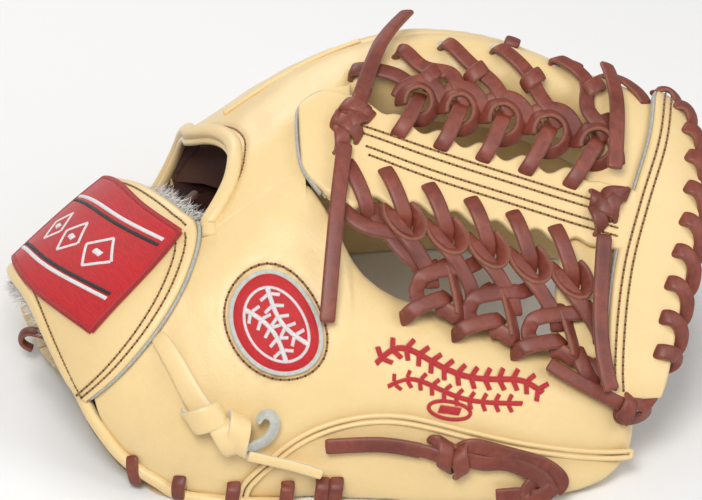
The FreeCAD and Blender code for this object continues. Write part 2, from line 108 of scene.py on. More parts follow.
def weights(t, bends):
    """Spline weights of every table entry at t."""
    count = len(bends)
    i = np.clip(np.floor(t), 0, count - 2).astype(int)
    b = (t - i)[..., None]
    a = 1 - b
    pick = np.eye(count)
    return (a * pick[i] + b * pick[i + 1]
            + (a ** 3 - a) / 6 * bends[i] + (b ** 3 - b) / 6 * bends[i + 1])


class Skin:
    """A smooth sheet through a net of points; u counts stations and v counts rows."""

    def __init__(self, rows):
        self.net = np.array(rows, float)
        self.net[..., 2] -= FLOOR
        self.bends_v = bend_matrix(self.net.shape[0])
        self.bends_u = bend_matrix(self.net.shape[1])

    def at(self, u, v):
        u, v = np.broadcast_arrays(np.asarray(u, float), np.asarray(v, float))
        wu, wv = weights(u, self.bends_u), weights(v, self.bends_v)
        return np.einsum("...i,...j,ijk->...k", wv, wu, self.net, optimize=True)

    def normal(self, u, v, step=0.02):
        u, v = np.asarray(u, float), np.asarray(v, float)
        along = self.at(u + step, v) - self.at(u - step, v)
        over = self.at(u, v + step) - self.at(u, v - step)
        return unit(np.cross(along, over))

    def off(self, u, v, height):
        return self.at(u, v) + self.normal(u, v) * np.asarray(height, float)[..., None]


back = Skin(BACK)
front = Skin(FRONT)


def unit(vectors):
    return vectors / np.linalg.norm(vectors, axis=-1, keepdims=True)


def run_along(line):
    """How far along a line each of its points is."""
    return np.concatenate([[0], np.cumsum(np.linalg.norm(np.diff(line, axis=0), axis=1))])


def columns_at(places, run, data):
    """Each column of data, read at places along the run."""
    return np.stack([np.interp(places, run, column) for column in data.T], 1)


def spaced(step, *data, least=3):
    """Arrays that go with the points of data[0], resampled at an even step along them."""
    run = run_along(data[0])
    places = np.linspace(0, run[-1], max(least, int(round(run[-1] / step)) + 1))
    return [columns_at(places, run, d) for d in data]


def track(points, t):
    """Smooth values at t in 0..1 along given points, by their centripetal chord length."""
    points = np.array(points, float)
    if len(points) == 2:
        return points[0] + (points[1] - points[0]) * t[:, None]
    chord = np.sqrt(np.linalg.norm(np.diff(points, axis=0), axis=1)) + 1e-9
    knots = np.concatenate([[0], np.cumsum(chord)]) / chord.sum()
    n, h = len(points), np.diff(knots)
    left, right = np.eye(n), np.zeros((n, points.shape[1]))
    for i in range(1, n - 1):
        left[i, i - 1:i + 2] = (h[i - 1], 2 * (h[i - 1] + h[i]), h[i])
        right[i] = 6 * ((points[i + 1] - points[i]) / h[i] - (points[i] - points[i - 1]) / h[i - 1])
    m = np.linalg.solve(left, right)
    i = np.clip(np.searchsorted(knots, t, side="right") - 1, 0, n - 2)
    a, b, w = (knots[i + 1] - t)[:, None], (t - knots[i])[:, None], h[i][:, None]
    return ((m[i] * a ** 3 + m[i + 1] * b ** 3) / (6 * w)
            + (points[i] / w - m[i] * w / 6) * a + (points[i + 1] / w - m[i + 1] * w / 6) * b)


def on_skin(route, step=0.8, skin=back):
    """An evenly stepped 3-D line over (u, v, height) points, and the skin's normals along it."""
    u, v, height = track(route, np.linspace(0, 1, 300)).T
    line, normals = spaced(step, skin.off(u, v, height), skin.normal(u, v))
    return line, unit(normals)


# ---- meshes ----

def make(name, verts, faces, material):
    """A mesh object from millimetre points."""
    mesh = bpy.data.meshes.new(name)
    mesh.from_pydata((np.asarray(verts, float) / 1000).tolist(), [], [tuple(map(int, f)) for f in faces])
    mesh.update()
    obj = bpy.data.objects.new(name, mesh)
    bpy.context.collection.objects.link(obj)
    for m in material if isinstance(material, list) else [material]:
        mesh.materials.append(m)
    mesh.shade_smooth()
    return obj


def read_points(obj, what="co"):
    """The points or normals of a mesh, one row each."""
    values = np.empty(len(obj.data.vertices) * 3)
    obj.data.vertices.foreach_get(what, values)
    return values.reshape(-1, 3)


def write_points(obj, points):
    obj.data.vertices.foreach_set("co", points.ravel())
    obj.data.update()


def sheet(name, points, material, keep=None):
    """An open mesh over a grid of points."""
    return make(name, points.reshape(-1, 3), grid(*points.shape[:2], keep=keep), material)


def edited(obj, edit):
    """Runs an edit on a mesh's editable copy and writes it back."""
    bm = bmesh.new()
    bm.from_mesh(obj.data)
    edit(bm)
    bm.to_mesh(obj.data)
    bm.free()
    return obj


def grid(rows, columns, around=False, keep=None):
    """Quads of a grid of points numbered row by row."""
    faces = []
    for i in range(rows - 1):
        for j in range(columns if around else columns - 1):
            if keep is None or keep[i, j]:
                a, b = i * columns, (j + 1) % columns
                faces.append((a + j, a + b, a + columns + b, a + columns + j))
    return faces


def weld(obj, distance=1e-5):
    """Merges points that lie on each other and makes the faces agree."""
    def edit(bm):
        bmesh.ops.remove_doubles(bm, verts=bm.verts, dist=distance)
        bmesh.ops.recalc_face_normals(bm, faces=bm.faces)
    return edited(obj, edit)


def applied(obj):
    """Turns the modifiers into plain mesh."""
    graph = bpy.context.evaluated_depsgraph_get()
    mesh = bpy.data.meshes.new_from_object(obj.evaluated_get(graph))
    obj.modifiers.clear()
    obj.data = mesh
    return obj


def joined(name, parts):
    """Several objects made into one, with their materials kept."""
    bpy.ops.object.select_all(action="DESELECT")
    for o in parts:
        o.select_set(True)
    bpy.context.view_layer.objects.active = parts[0]
    bpy.ops.object.join()
    parts[0].name = parts[0].data.name = name
    return parts[0]


def swept(line, normals, section, closed=False, taper=None):
    """Points and faces of a section carried along a line. section holds (side, up) in millimetres."""
    ahead = unit(np.roll(line, -1, 0) - np.roll(line, 1, 0) if closed else np.gradient(line, axis=0))
    side = unit(np.cross(ahead, normals))
    up = np.cross(side, ahead)
    section = np.array(section, float) * np.reshape(1.0 if taper is None else taper, (-1, 1, 1))
    points = line[:, None] + side[:, None] * section[..., 0:1] + up[:, None] * section[..., 1:2]
    rows, columns = points.shape[:2]
    faces = grid(rows, columns, around=True)
    last = (rows - 1) * columns
    if closed:
        faces += [(last + j, last + (j + 1) % columns, (j + 1) % columns, j) for j in range(columns)]
    else:
        faces += [tuple(range(columns - 1, -1, -1)), tuple(range(last, last + columns))]
    return points.reshape(-1, 3), faces


def round_section(wide, high, count=12, power=2.0):
    """A rounded section in millimetres; a higher power makes it squarer."""
    turns = np.linspace(0, 2 * np.pi, count, endpoint=False)
    c, s = np.cos(turns), np.sin(turns)
    return np.stack([wide / 2 * np.sign(c) * abs(c) ** (2 / power),
                     high / 2 * np.sign(s) * abs(s) ** (2 / power)], 1)


def merge_lists(chunks):
    """Joins (verts, faces) pairs into one pair."""
    verts, faces, base = [], [], 0
    for v, f in chunks:
        verts.append(v)
        faces += [tuple(i + base for i in face) for face in f]
        base += len(v)
    return np.concatenate(verts), faces


# ---- materials ----

class Graph:
    """Short calls for building a material's nodes."""

    def __init__(self, name):
        self.mat = bpy.data.materials.new(name)
        self.mat.use_nodes = True
        self.tree = self.mat.node_tree
        self.bsdf = next(n for n in self.tree.nodes if n.type == "BSDF_PRINCIPLED")
        self.coord = self.tree.nodes.new("ShaderNodeTexCoord").outputs["Object"]

    def node(self, kind, links=None, **values):
        n = self.tree.nodes.new(kind)
        for key, value in values.items():
            if key in n.inputs:
                n.inputs[key].default_value = value
            else:
                setattr(n, key, value)
        for key, source in (links or {}).items():
            self.tree.links.new(source, n.inputs[key])
        return n

    def feed(self, socket, value):
        """Links another node's output, or sets a plain value."""
        if hasattr(value, "links"):
            self.tree.links.new(value, socket)
        else:
            socket.default_value = value

    def noise(self, scale, detail=3.0, rough=0.55, distortion=0.0):
        n = self.node("ShaderNodeTexNoise", {"Vector": self.coord}, Scale=scale, Detail=detail,
                      Roughness=rough, Distortion=distortion)
        return n.outputs["Fac"]

    def ramp(self, source, *stops):
        """Greys between two (place, grey) stops."""
        n = self.node("ShaderNodeValToRGB", {"Fac": source})
        for element, (place, grey) in zip(n.color_ramp.elements, stops):
            element.position = place
            element.color = (grey, grey, grey, 1)
        return n.outputs["Color"]

    def mix(self, factor, a, b):
        n = self.tree.nodes.new("ShaderNodeMix")
        n.data_type = "RGBA"
        for place, value in ((0, factor), (6, a), (7, b)):
            self.feed(n.inputs[place], (*value, 1) if isinstance(value, tuple) else value)
        return n.outputs[2]

    def math(self, op, a, b=0.0):
        n = self.tree.nodes.new("ShaderNodeMath")
        n.operation = op
        for socket, value in zip(n.inputs, (a, b)):
            self.feed(socket, value)
        return n.outputs[0]

    def bump(self, height, strength, distance, under=None):
        links = {"Height": height}
        if under is not None:
            links["Normal"] = under
        return self.node("ShaderNodeBump", links, Strength=strength, Distance=distance).outputs["Normal"]

    def link(self, source, name):
        self.tree.links.new(source, self.bsdf.inputs[name])

    def set(self, **values):
        for key, value in values.items():
            self.bsdf.inputs[key.replace("_", " ")].default_value = value
        return self


def attribute(graph, name, output="Fac"):
    return graph.node("ShaderNodeAttribute", attribute_name=name).outputs[output]


def leather(name, base, dark, rough=0.42, grain=1.0, sheen=0.15, shade=True):
    """Smooth dyed cowhide: fine pebble grain, soft creases, colour that wanders, and painted shade that
    darkens it along the seam grooves.
    """
    g = Graph(name)
    wander = g.noise(14, 4, 0.6)
    colour = g.mix(g.ramp(wander, (0.32, 0), (0.72, 1)), base,
                   tuple(0.93 * c for c in base))
    fibres = g.noise(420, 3, 0.7)
    colour = g.mix(g.math("MULTIPLY", fibres, 0.16), colour, dark)
    # painted shade: the cream mixes towards the dark colour where the shell marks its seam grooves
    if shade:
        colour = g.mix(attribute(g, "groove_shade"), colour, dark)
    g.link(colour, "Base Color")
    g.link(g.math("ADD", g.math("MULTIPLY", g.noise(60, 3), 0.22), rough - 0.11), "Roughness")
    pebble = g.node("ShaderNodeTexVoronoi", {"Vector": g.coord}, Scale=900.0, feature="F1")
    normal = g.bump(pebble.outputs["Distance"], 0.10 * grain, 0.0004)
    creases = g.node("ShaderNodeTexVoronoi", {"Vector": g.coord}, Scale=230.0, feature="DISTANCE_TO_EDGE")
    normal = g.bump(creases.outputs["Distance"], 0.06 * grain, 0.0006, normal)
    normal = g.bump(g.noise(45, 4, 0.6, distortion=0.6), 0.10 * grain, 0.004, normal)
    g.link(normal, "Normal")
    g.set(Coat_Weight=0.12, Coat_Roughness=0.35, Sheen_Weight=sheen, Specular_IOR_Level=0.45)
    return g.mat


def lace_leather(name, base, light, dark):
    """Oiled rawhide lace: streaks along it, waxy sheen, paler streaks and darker blotches."""
    g = Graph(name)
    streaks = g.noise(170, 5, 0.65, distortion=1.2)
    colour = g.mix(g.ramp(streaks, (0.35, 0), (0.7, 1)), base, light)
    blotch = g.noise(38, 3, 0.5)
    colour = g.mix(g.ramp(blotch, (0.45, 0), (0.75, 0.75)), colour, dark)
    g.link(colour, "Base Color")
    g.link(g.math("ADD", g.math("MULTIPLY", streaks, 0.25), 0.38), "Roughness")
    normal = g.bump(g.noise(900, 3, 0.7), 0.18, 0.0003)
    normal = g.bump(g.noise(120, 4, 0.6), 0.2, 0.0012, normal)
    g.link(normal, "Normal")
    g.set(Coat_Weight=0.15, Coat_Roughness=0.4, Specular_IOR_Level=0.5)
    return g.mat


def plain_fibre(name, base, scale=700, rough=0.8, sheen=0.4, strength=0.3, dark=None):
    g = Graph(name)
    fibre = g.noise(scale, 4, 0.7)
    g.link(g.mix(g.ramp(fibre, (0.3, 0), (0.75, 1)), dark or tuple(0.6 * c for c in base), base),
           "Base Color")
    g.link(g.bump(fibre, strength, 0.0005), "Normal")
    g.set(Roughness=rough, Sheen_Weight=sheen, Sheen_Roughness=0.4)
    return g.mat


CREAM = (0.80, 0.60, 0.29)
# darker cream: fibre flecks, and the colour of the painted shade in the seam grooves
CREAM_DARK = (0.50, 0.30, 0.11)
cream = leather("cream_leather", CREAM, CREAM_DARK)
cream_edge = plain_fibre("cut_leather_edge", (0.50, 0.50, 0.46), 900, 0.85, 0.2)
lace = lace_leather("brown_lace", (0.150, 0.026, 0.014), (0.24, 0.052, 0.026), (0.070, 0.012, 0.007))
lace_edge = plain_fibre("lace_cut_edge", (0.30, 0.11, 0.06), 800, 0.7, 0.1)
lining = leather("brown_lining", (0.10, 0.035, 0.022), (0.04, 0.012, 0.008), 0.6, 1.4, 0.2, shade=False)
thread = plain_fibre("brown_thread", (0.34, 0.16, 0.045), 2200, 0.6, 0.3, 0.4)
hole_dark = plain_fibre("hole_shadow", (0.10, 0.05, 0.02), 900, 0.9, 0.0)
fleece = plain_fibre("white_fleece", (0.86, 0.85, 0.83), 1200, 0.95, 0.6, 0.5, (0.62, 0.6, 0.57))
red_thread = plain_fibre("red_thread", (0.62, 0.022, 0.028), 1500, 0.55, 0.35, 0.4, (0.36, 0.01, 0.014))
white_thread = plain_fibre("white_thread", (0.86, 0.85, 0.84), 1500, 0.5, 0.35, 0.4, (0.55, 0.54, 0.54))
black_thread = plain_fibre("black_thread", (0.02, 0.018, 0.02), 1500, 0.6, 0.2, 0.4, (0.005, 0.005, 0.006))
suede = plain_fibre("grey_suede", (0.56, 0.57, 0.52), 600, 0.9, 0.5, 0.5, (0.40, 0.41, 0.37))


# ---- shared outlines ----

def curve_value(marks, x):
    """Smooth value at x through given (x, value) marks."""
    marks = np.array(marks, float)
    x = np.clip(x, marks[0, 0], marks[-1, 0])
    slopes = np.gradient(marks[:, 1], marks[:, 0])
    i = np.clip(np.searchsorted(marks[:, 0], x, side="right") - 1, 0, len(marks) - 2)
    h = marks[i + 1, 0] - marks[i, 0]
    t = (x - marks[i, 0]) / h
    return ((2 * t ** 3 - 3 * t ** 2 + 1) * marks[i, 1] + (t ** 3 - 2 * t ** 2 + t) * h * slopes[i]
            + (3 * t ** 2 - 2 * t ** 3) * marks[i + 1, 1] + (t ** 3 - t ** 2) * h * slopes[i + 1])


THUMB_WEB_EDGE = [(1.0, 2.6), (2.6, 2.75), (3.12, 2.74), (3.3, 2.58), (3.5, 2.32), (3.75, 2.16), (4.1, 2.08),
                  (4.6, 2.06), (5.2, 2.06), (5.6, 2.0), (5.93, 1.82), (6.2, 1.6), (6.4, 1.4)]
INDEX_WEB_EDGE = [(1.0, 3.5), (2.6, 3.45), (3.12, 3.48), (3.3, 3.62), (3.5, 3.8), (3.75, 3.9), (4.2, 3.96),
                  (5.0, 4.02), (5.8, 4.06), (6.6, 4.1)]
STRAP_EDGE = [(1.05, 0.80), (1.15, 0.92), (1.6, 1.42), (2.0, 1.78), (2.4, 2.02), (2.85, 2.13), (3.2, 1.99),
              (3.8, 1.74), (4.9, 1.38), (5.6, 1.2), (6.5, 1.1), (7.8, 1.0)]
CROTCH = 3.12          # station where thumb and index finger part
KNUCKLE = 3.02         # station where the far fingers become tubes
LOWEST = -0.07         # row of the thumb side's lower edge


def rim_edge(v):
    """Station of the wrist opening's rim at row v."""
    return curve_value([(-0.2, 1.75), (0.0, 1.7), (0.2, 1.2), (0.6, 0.82), (1.1, 0.66), (1.8, 0.48),
                        (2.87, 0.26), (4.5, 0.03), (6.0, 0.02), (8.2, 0.05)], v)


def hole_edge(v):
    """Station of the back shell's edge beside the finger opening, at row v."""
    return curve_value([(2.86, 2.16), (2.95, 2.26), (3.08, 2.36), (3.3, 2.42), (3.6, 2.42), (4.0, 2.35),
                        (4.4, 2.22), (4.8, 2.06), (5.2, 1.95), (5.8, 1.9), (6.4, 1.83), (7.0, 1.7),
                        (7.35, 1.48), (7.6, 1.15), (7.75, 0.95), (8, 0.9)], v)


# ---- the two padded shells ----

# the raised seam along the thumb, in (station, row)
PIPING = [(2.44, -0.02), (2.48, 0.17), (2.68, 0.42), (2.98, 0.66), (3.44, 0.81), (4.0, 0.85), (4.61, 0.76),
          (5.36, 0.61), (5.9, 0.46), (6.10, 0.40)]


def near_line(points, line, batch=24):
    """Distance in millimetres from each point to a 3-D line."""
    best = np.full(len(points), 1e9)
    for i in range(0, len(line), batch):
        apart = points[:, None] - line[None, i:i + batch]
        best = np.minimum(best, np.linalg.norm(apart, axis=2).min(1))
    return best


def soft_noise(points, scale, seed):
    """Repeatable smooth noise from a few sine waves, about -1 to 1."""
    rng = np.random.RandomState(seed)
    total = np.zeros(len(points))
    for _ in range(7):
        way = rng.normal(size=3)
        way *= rng.uniform(0.6, 1.6) / scale / np.linalg.norm(way)
        total += np.sin(points @ way * 2 * np.pi + rng.uniform(0, 6.3))
    return total / 3.2


GROOVES = []           # (3-D line, depth, width) pressed into the leather under a seam


def at_station(value, u):
    """A plain number, or a function of the station."""
    return value(u) if callable(value) else value


def thumb_edge(u):
    return curve_value(THUMB_WEB_EDGE, u)


def index_edge(u):
    return curve_value(INDEX_WEB_EDGE, u)


def shell_point(u, t, a, b, n_low, n_high, side, squeeze=1.0):
    """A point of a padded tube. t runs across it from row a to row b; n is how square each edge is."""
    x = 2 * t - 1
    n = np.where(x < 0, n_low, n_high)
    rise = np.clip(1 - np.abs(x) ** n, 0, 1) ** (1 / n)
    v = (a + b) / 2 + (b - a) / 2 * x * squeeze
    share = (0.5 - 0.5 * side * rise * squeeze)[..., None]
    return back.at(u, v) * (1 - share) + front.at(u, v) * share


def across(count):
    """Places over a tube's width, closer together at its borders."""
    return 0.5 - 0.5 * np.cos(np.pi * np.linspace(0, 1, count))


def tip_squeeze(u, start, end, power=2.6):
    """How far a tube has closed, from 1 at the start of its tip to 0 at its end."""
    x = np.clip((u - start) / (end - start), 0, 1)
    return np.clip(1 - x ** power, 0.0, 1) ** (1 / power)


def tube(name, u0, u1, edge_a, edge_b, n_a, n_b, tip, step=0.022, count=(60, 44)):
    """A closed padded finger or thumb. Rows and squareness are numbers or functions of the station."""
    ease = tip + (u1 - tip) * np.sin(np.linspace(0, 1, 18) * np.pi / 2)
    us = np.concatenate([np.arange(u0, tip, step), ease])[:, None]
    shape = [at_station(value, us) for value in (edge_a, edge_b, n_a, n_b)]
    squeeze = np.maximum(tip_squeeze(us, tip, u1), 0.02)
    upper = shell_point(us, across(count[0])[None], *shape, 1, squeeze)
    lower = shell_point(us, across(count[1])[None, ::-1][:, 1:-1], *shape, -1, squeeze)
    ring = np.concatenate([upper, lower], 1)
    rows, columns = ring.shape[:2]
    faces = grid(rows, columns, around=True) + [tuple(range((rows - 1) * columns, rows * columns))]
    return make(name, ring.reshape(-1, 3), faces, cream)


def ramped(u0, v0, u1, v1):
    return lambda u: v0 + (v1 - v0) * np.clip((u - u0) / (u1 - u0), 0, 1)


def stations(u0, u1, step):
    """Stations from u0 to exactly u1, one row of points each."""
    return np.append(np.arange(u0, u1 - 1e-6, step), u1)[:, None]


def cell_middles(us, vs):
    return (us[:-1] + us[1:]) / 2, (vs[:-1, :-1] + vs[1:, 1:]) / 2


THUMB_TIP, THUMB_END = 5.72, 6.27
INDEX_TIP, INDEX_END = 6.0, 6.6
ROUND_EDGE, SQUARE_EDGE = 4.5, 400     # how square a tube's border is: rounded, or flat to the end


def near_shell():
    """The thumb side: back of the hand, thumb, thumb heel, index finger and half of the palm."""
    # back of the hand, from under the strap to the crotch of the web
    us = stations(0.9, CROTCH, 0.02)
    b, c = thumb_edge(us), index_edge(us)
    thumb_t, index_t = across(60)[None], across(44)[None]
    left = shell_point(us, thumb_t, LOWEST, b, ROUND_EDGE, SQUARE_EDGE, 1)
    right = shell_point(us, index_t, c, 5.0, SQUARE_EDGE, index_groove(us), 1)
    # the two tubes meet the flat web zone without a wall here
    left[:, -1] = back.at(us[:, 0], b[:, 0])
    right[:, 0] = back.at(us[:, 0], c[:, 0])
    web_v = b + (c - b) * np.linspace(0, 1, 22)[None, 1:-1]
    hand = np.concatenate([left, back.at(us, web_v), right], 1)
    mid_u, mid_v = cell_middles(us, np.concatenate([LOWEST + (b - LOWEST) * thumb_t, web_v,
                                                    c + (5.0 - c) * index_t], 1))
    under_strap = curve_value([(v, u) for v, u in STRAP_EDGE], mid_v) - 0.25
    keep = (mid_v < 2.9) | (mid_u > hole_edge(mid_v))
    keep &= mid_u > rim_edge(mid_v) + 0.03
    keep &= (mid_v > 2.9) | (mid_u > under_strap)
    parts = [sheet("hand_back", hand, cream, keep),
             tube("thumb_tube", CROTCH, THUMB_END, LOWEST, thumb_edge, ROUND_EDGE,
                  ramped(CROTCH, 30, CROTCH + 0.4, 3.4), THUMB_TIP),
             tube("index_tube", CROTCH, INDEX_END, index_edge, 5.0,
                  ramped(CROTCH, 30, CROTCH + 0.4, 3.2), index_groove, INDEX_TIP, count=(44, 34))]
    # the palm's half, on the pocket side
    us = stations(0.0, CROTCH, 0.03)
    edge = thumb_edge(us)
    palm_left = shell_point(us, thumb_t, LOWEST, edge, ROUND_EDGE, SQUARE_EDGE, -1)
    palm_left[:, -1] = front.at(us[:, 0], edge[:, 0])
    vs = edge + (4.5 - edge) * np.linspace(0, 1, 30)[None, 1:]
    palm = np.concatenate([palm_left, front.at(us, vs)], 1)
    corner_v = np.concatenate([LOWEST + (edge - LOWEST) * thumb_t, vs], 1)[:-1, :-1]
    return parts + [sheet("palm_half", palm, cream, us[:-1] > palm_edge(corner_v))]


def palm_edge(v):
    """Station of the palm's wrist edge at row v."""
    return curve_value([(-0.2, 1.62), (0.0, 1.4), (0.3, 1.0), (1.0, 0.55), (2.0, 0.18), (3.0, 0.02),
                        (8.2, 0.0)], v)


def index_groove(u):
    """How square the groove between index and middle finger is: flat at the hand, round further out."""
    return curve_value([(0.0, 90), (2.2, 60), (2.7, 22), (3.1, 8), (3.5, 4.2), (3.9, 3.2), (7, 3.0)], u)


def far_groove(u):
    return curve_value([(0.0, 90), (2.0, 60), (2.5, 20), (2.9, 7), (3.3, 3.6), (3.7, 3.0), (7, 2.9)], u)


FAR_FINGERS = (("middle", 5.0, 6.0, 6.55), ("ring", 6.0, 7.0, 6.5), ("pinky", 7.0, 8.05, 6.25))


def far_shell():
    """The far side: knuckles, middle, ring and little fingers and the other half of the palm."""
    parts = []
    for name, a, b, end in FAR_FINGERS:
        n_low = index_groove if a == 5.0 else far_groove
        n_high = far_groove if b < 8 else ROUND_EDGE
        count = 54 if name == "pinky" else 36
        us, t = stations(0.9, KNUCKLE, 0.025), across(count)[None]
        knuckle = shell_point(us, t, a, b, n_low(us), at_station(n_high, us), 1)
        mid_u, mid_v = cell_middles(us, a + (b - a) * t + 0 * us)
        parts.append(sheet(name + "_knuckle", knuckle, cream, mid_u > np.maximum(hole_edge(mid_v), 0)))
        parts.append(tube(name + "_tube", KNUCKLE, end, a, b, n_low, n_high, end - 0.6, 0.028, (count, 30)))
    us, vs = stations(0.0, KNUCKLE, 0.03), np.linspace(4.5, 8.05, 70)[None]
    drop = np.clip(1 - np.abs(np.clip((vs - 7.5) / 0.55, 0, 1)) ** ROUND_EDGE, 0, 1) ** (1 / ROUND_EDGE)
    share = (0.5 + 0.5 * drop)[..., None]
    palm = back.at(us, vs) * (1 - share) + front.at(us, vs) * share
    return parts + [sheet("palm_far_half", palm, cream)]


def work_leather(obj, noise=0.28, seed=1, groove_shade=0.55):
    """Presses seam grooves into a shell, adds slow unevenness, and marks painted shade along the grooves."""
    points, normals = read_points(obj) * 1000, read_points(obj, "normal")
    move = noise * soft_noise(points, 34, seed) + 0.4 * noise * soft_noise(points, 11, seed + 1)
    shade = np.zeros(len(points))
    low, high = points.min(0) - 8, points.max(0) + 8
    for line, depth, width in GROOVES:
        line = line[np.all((line > low) & (line < high), axis=1)]
        if len(line):
            d = near_line(points, line)
            move -= depth * np.exp(-(d / width) ** 2)
            # painted shade: strongest in each groove, fading beside it
            shade = np.maximum(shade, groove_shade * np.exp(-(d / (1.3 * width)) ** 2))
    write_points(obj, (points + normals * move[:, None]) / 1000)
    obj.data.attributes.new("groove_shade", "FLOAT", "POINT").data.foreach_set("value", shade)
    obj.data.update()
    obj.data.shade_smooth()


def halves(obj, y=30):
    """Cuts a piece that lies across both folds in two, between the folds."""
    other = obj.copy()
    other.data = obj.data.copy()
    bpy.context.collection.objects.link(other)
    other.name = other.data.name = obj.name + "_far"
    for half, side in ((obj, 1), (other, -1)):
        edited(half, lambda bm: bmesh.ops.bisect_plane(
            bm, geom=bm.verts[:] + bm.edges[:] + bm.faces[:], dist=1e-6,
            plane_co=(0, y / 1000, 0), plane_no=(0, side, 0), clear_outer=True))
    return obj, other


def rest_on_floor(*objs):
    """Presses what would be lower than the floor flat against it."""
    for obj in objs:
        points = read_points(obj)
        points[:, 2] = np.maximum(points[:, 2], JUST_ABOVE_FLOOR)
        write_points(obj, points)


# ---- placing pieces: those of the thumb's and the little finger's folds are baked in place and nothing bends; the rest ride on the hand ----


def bend_thumb(obj, slot="cream_leather"):
    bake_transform(obj)
    return obj


def bend_pinky(obj, slot="cream_leather"):
    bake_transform(obj)
    return obj


def fixed(obj, slot="cream_leather"):
    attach(obj, "hand")
    return obj


# ---- seams ----

def stitches(name, routes):
    """Rows of separate thread stitches, each with a dark bead of painted shadow at its hole. routes are (u,
    v, height) lines.
    """
    return thread_row(name, [on_skin(route, STITCH_PITCH) for route in routes])


def settle(points, ups, tree, reach=6.0):
    """Moves each point along its normal onto the surface in the tree."""
    out = points.copy()
    for k, (p, n) in enumerate(zip(points, ups)):
        hit = tree.ray_cast(Vector((p + n * reach) / 1000), Vector(-n), 2 * reach / 1000)[0]
        if hit is not None:
            out[k] = np.array(hit) * 1000
    return out


def surface_tree(obj):
    mesh = obj.data
    return BVHTree.FromPolygons([v.co[:] for v in mesh.vertices], [tuple(p.vertices) for p in mesh.polygons])


def thread_row(name, rows, long=2.7, wide=1.0, lift=0.14):
    """Stitches between the holes of each row. rows hold the holes' places and the leather's normals."""
    beads, dimples = [], []
    for points, ups in rows:
        ahead = unit(np.diff(points, axis=0))
        for k, way in enumerate(ahead):
            centre = (points[k] + points[k + 1]) / 2 + ups[k] * lift
            beads.append(capsule(centre, way, ups[k], long, wide, wide))
            # painted shadow: a small dark bead in each stitch hole
            dimples.append(capsule(points[k] + ups[k] * 0.08, way, ups[k], 1.1, 1.05, 0.5))
    verts, faces = merge_lists(beads + dimples)
    obj = make(name, verts, faces, [thread, hole_dark])
    obj.data.polygons.foreach_set("material_index", np.repeat([0, 1], len(faces) // 2))
    return obj


def capsule(centre, way, normal, long, wide, high):
    """One stitch: a bead that dips at both ends."""
    turns = np.arange(6)[:, None] * np.pi / 3
    ring = np.cross(normal, way) * (wide / 2 * np.cos(turns)) + normal * (high / 2 * np.sin(turns))
    rows = [centre + way * (long / 2 * s) - normal * (0.28 * s * s) + ring * r
            for s, r in ((-1, 0.3), (-0.72, 0.8), (0, 1.0), (0.72, 0.8), (1, 0.3))]
    faces = grid(5, 6, around=True) + [tuple(range(5, -1, -1)), tuple(range(24, 30))]
    return np.concatenate(rows), faces


def groove(route, depth=0.5, width=1.3):
    GROOVES.append((on_skin(route, 1.5)[0], depth, width))


def cord_on(name, route, wide, high, material, power=2.2, skin=back, count=12):
    line, normals = on_skin(route, 0.9, skin)
    return make(name, *swept(line, normals, round_section(wide, high, count, power)), material)


# ---- plates ----

def sheet_solid(name, middle, normals, thick, material, edge=1.0, crown=0.0):
    """A closed sheet about a grid of middle points, with rounded borders."""
    rows, columns = middle.shape[:2]
    run_u, run_v = run_along(middle.mean(1)), run_along(middle.mean(0))
    away = np.minimum(np.minimum(run_u, run_u[-1] - run_u)[:, None],
                      np.minimum(run_v, run_v[-1] - run_v)[None])
    x = np.clip(1 - away / edge, 0, 1)
    half = thick / 2 * np.sqrt(np.clip(1 - x ** 2, 0, 1))
    lift = crown * (1 - np.exp(-away / 6.0))
    top = middle + normals * (half + lift)[..., None]
    under = middle - normals * half[..., None]
    base = rows * columns
    faces = grid(rows, columns)
    faces += [tuple(base + i for i in reversed(f)) for f in faces]
    number = np.arange(base).reshape(rows, columns)
    rim = [*number[0], *number[1:, -1], *number[-1, -2::-1], *number[-2:0:-1, 0]]
    faces += [(p, base + p, base + q, q) for p, q in zip(rim, rim[1:] + rim[:1])]
    obj = weld(make(name, np.concatenate([top.reshape(-1, 3), under.reshape(-1, 3)]), faces, material), 2e-5)
    obj.data.shade_smooth()
    return obj


def laid_sheet(name, us, vs, heights, edge=1.3, crown=0.3):
    """A sheet of leather between two heights over a grid of stations and rows."""
    us, vs = np.broadcast_arrays(us, vs)
    middle = back.off(us, vs, np.full(us.shape, sum(heights) / 2))
    return sheet_solid(name, middle, back.normal(us, vs), heights[1] - heights[0], cream, edge, crown)


# ---- wrist strap, finger opening, lining ----

def strap_u(v):
    return curve_value(STRAP_EDGE, v)


def strap_sheet(name, v0, v1, rows=110):
    """Part of the strap between two rows, from the wrist rim to its finger-side edge."""
    vs = np.linspace(v0, v1, rows)[:, None]
    start, end = rim_edge(vs) - 0.015, strap_u(vs)
    return laid_sheet(name, start + (end - start) * np.linspace(0, 1, 70)[None], vs, (0.6, 3.4), 1.6, 0.5)


def edge_route(v0, v1, inset, height, count=24, edge=None):
    """A line that runs beside an edge, inset by stations."""
    return [((edge or strap_u)(v) - inset, v, height) for v in np.linspace(v0, v1, count)]


OPENING_ROWS = [2.70, 2.80, 2.88, 2.93, 3.0, 3.1, 3.25, 3.5, 3.8, 4.15, 4.5, 4.85, 5.2,
                5.7, 6.3, 6.8, 7.15, 7.4, 7.6, 7.7]


def finger_opening():
    """The padded rolled rim of the opening, on the shell side and round the far side."""
    rims = []
    for name, part in (("finger_opening_rim", OPENING_ROWS[:13]),
                       ("finger_opening_rim_far", OPENING_ROWS[12:])):
        route = [(hole_edge(v) + 0.055, v, 0.3 if v > 2.85 else -0.6) for v in part]
        rim = cord_on(name, route, 6.4, 5.0, cream, power=2.4, count=20)
        turned = cord_on("rim_turned_edge", [(hole_edge(v), v, -2.4) for v in part], 4.0, 3.0, cream, 2.4,
                         count=14)
        rims.append(joined(name, [rim, turned]))
    return rims


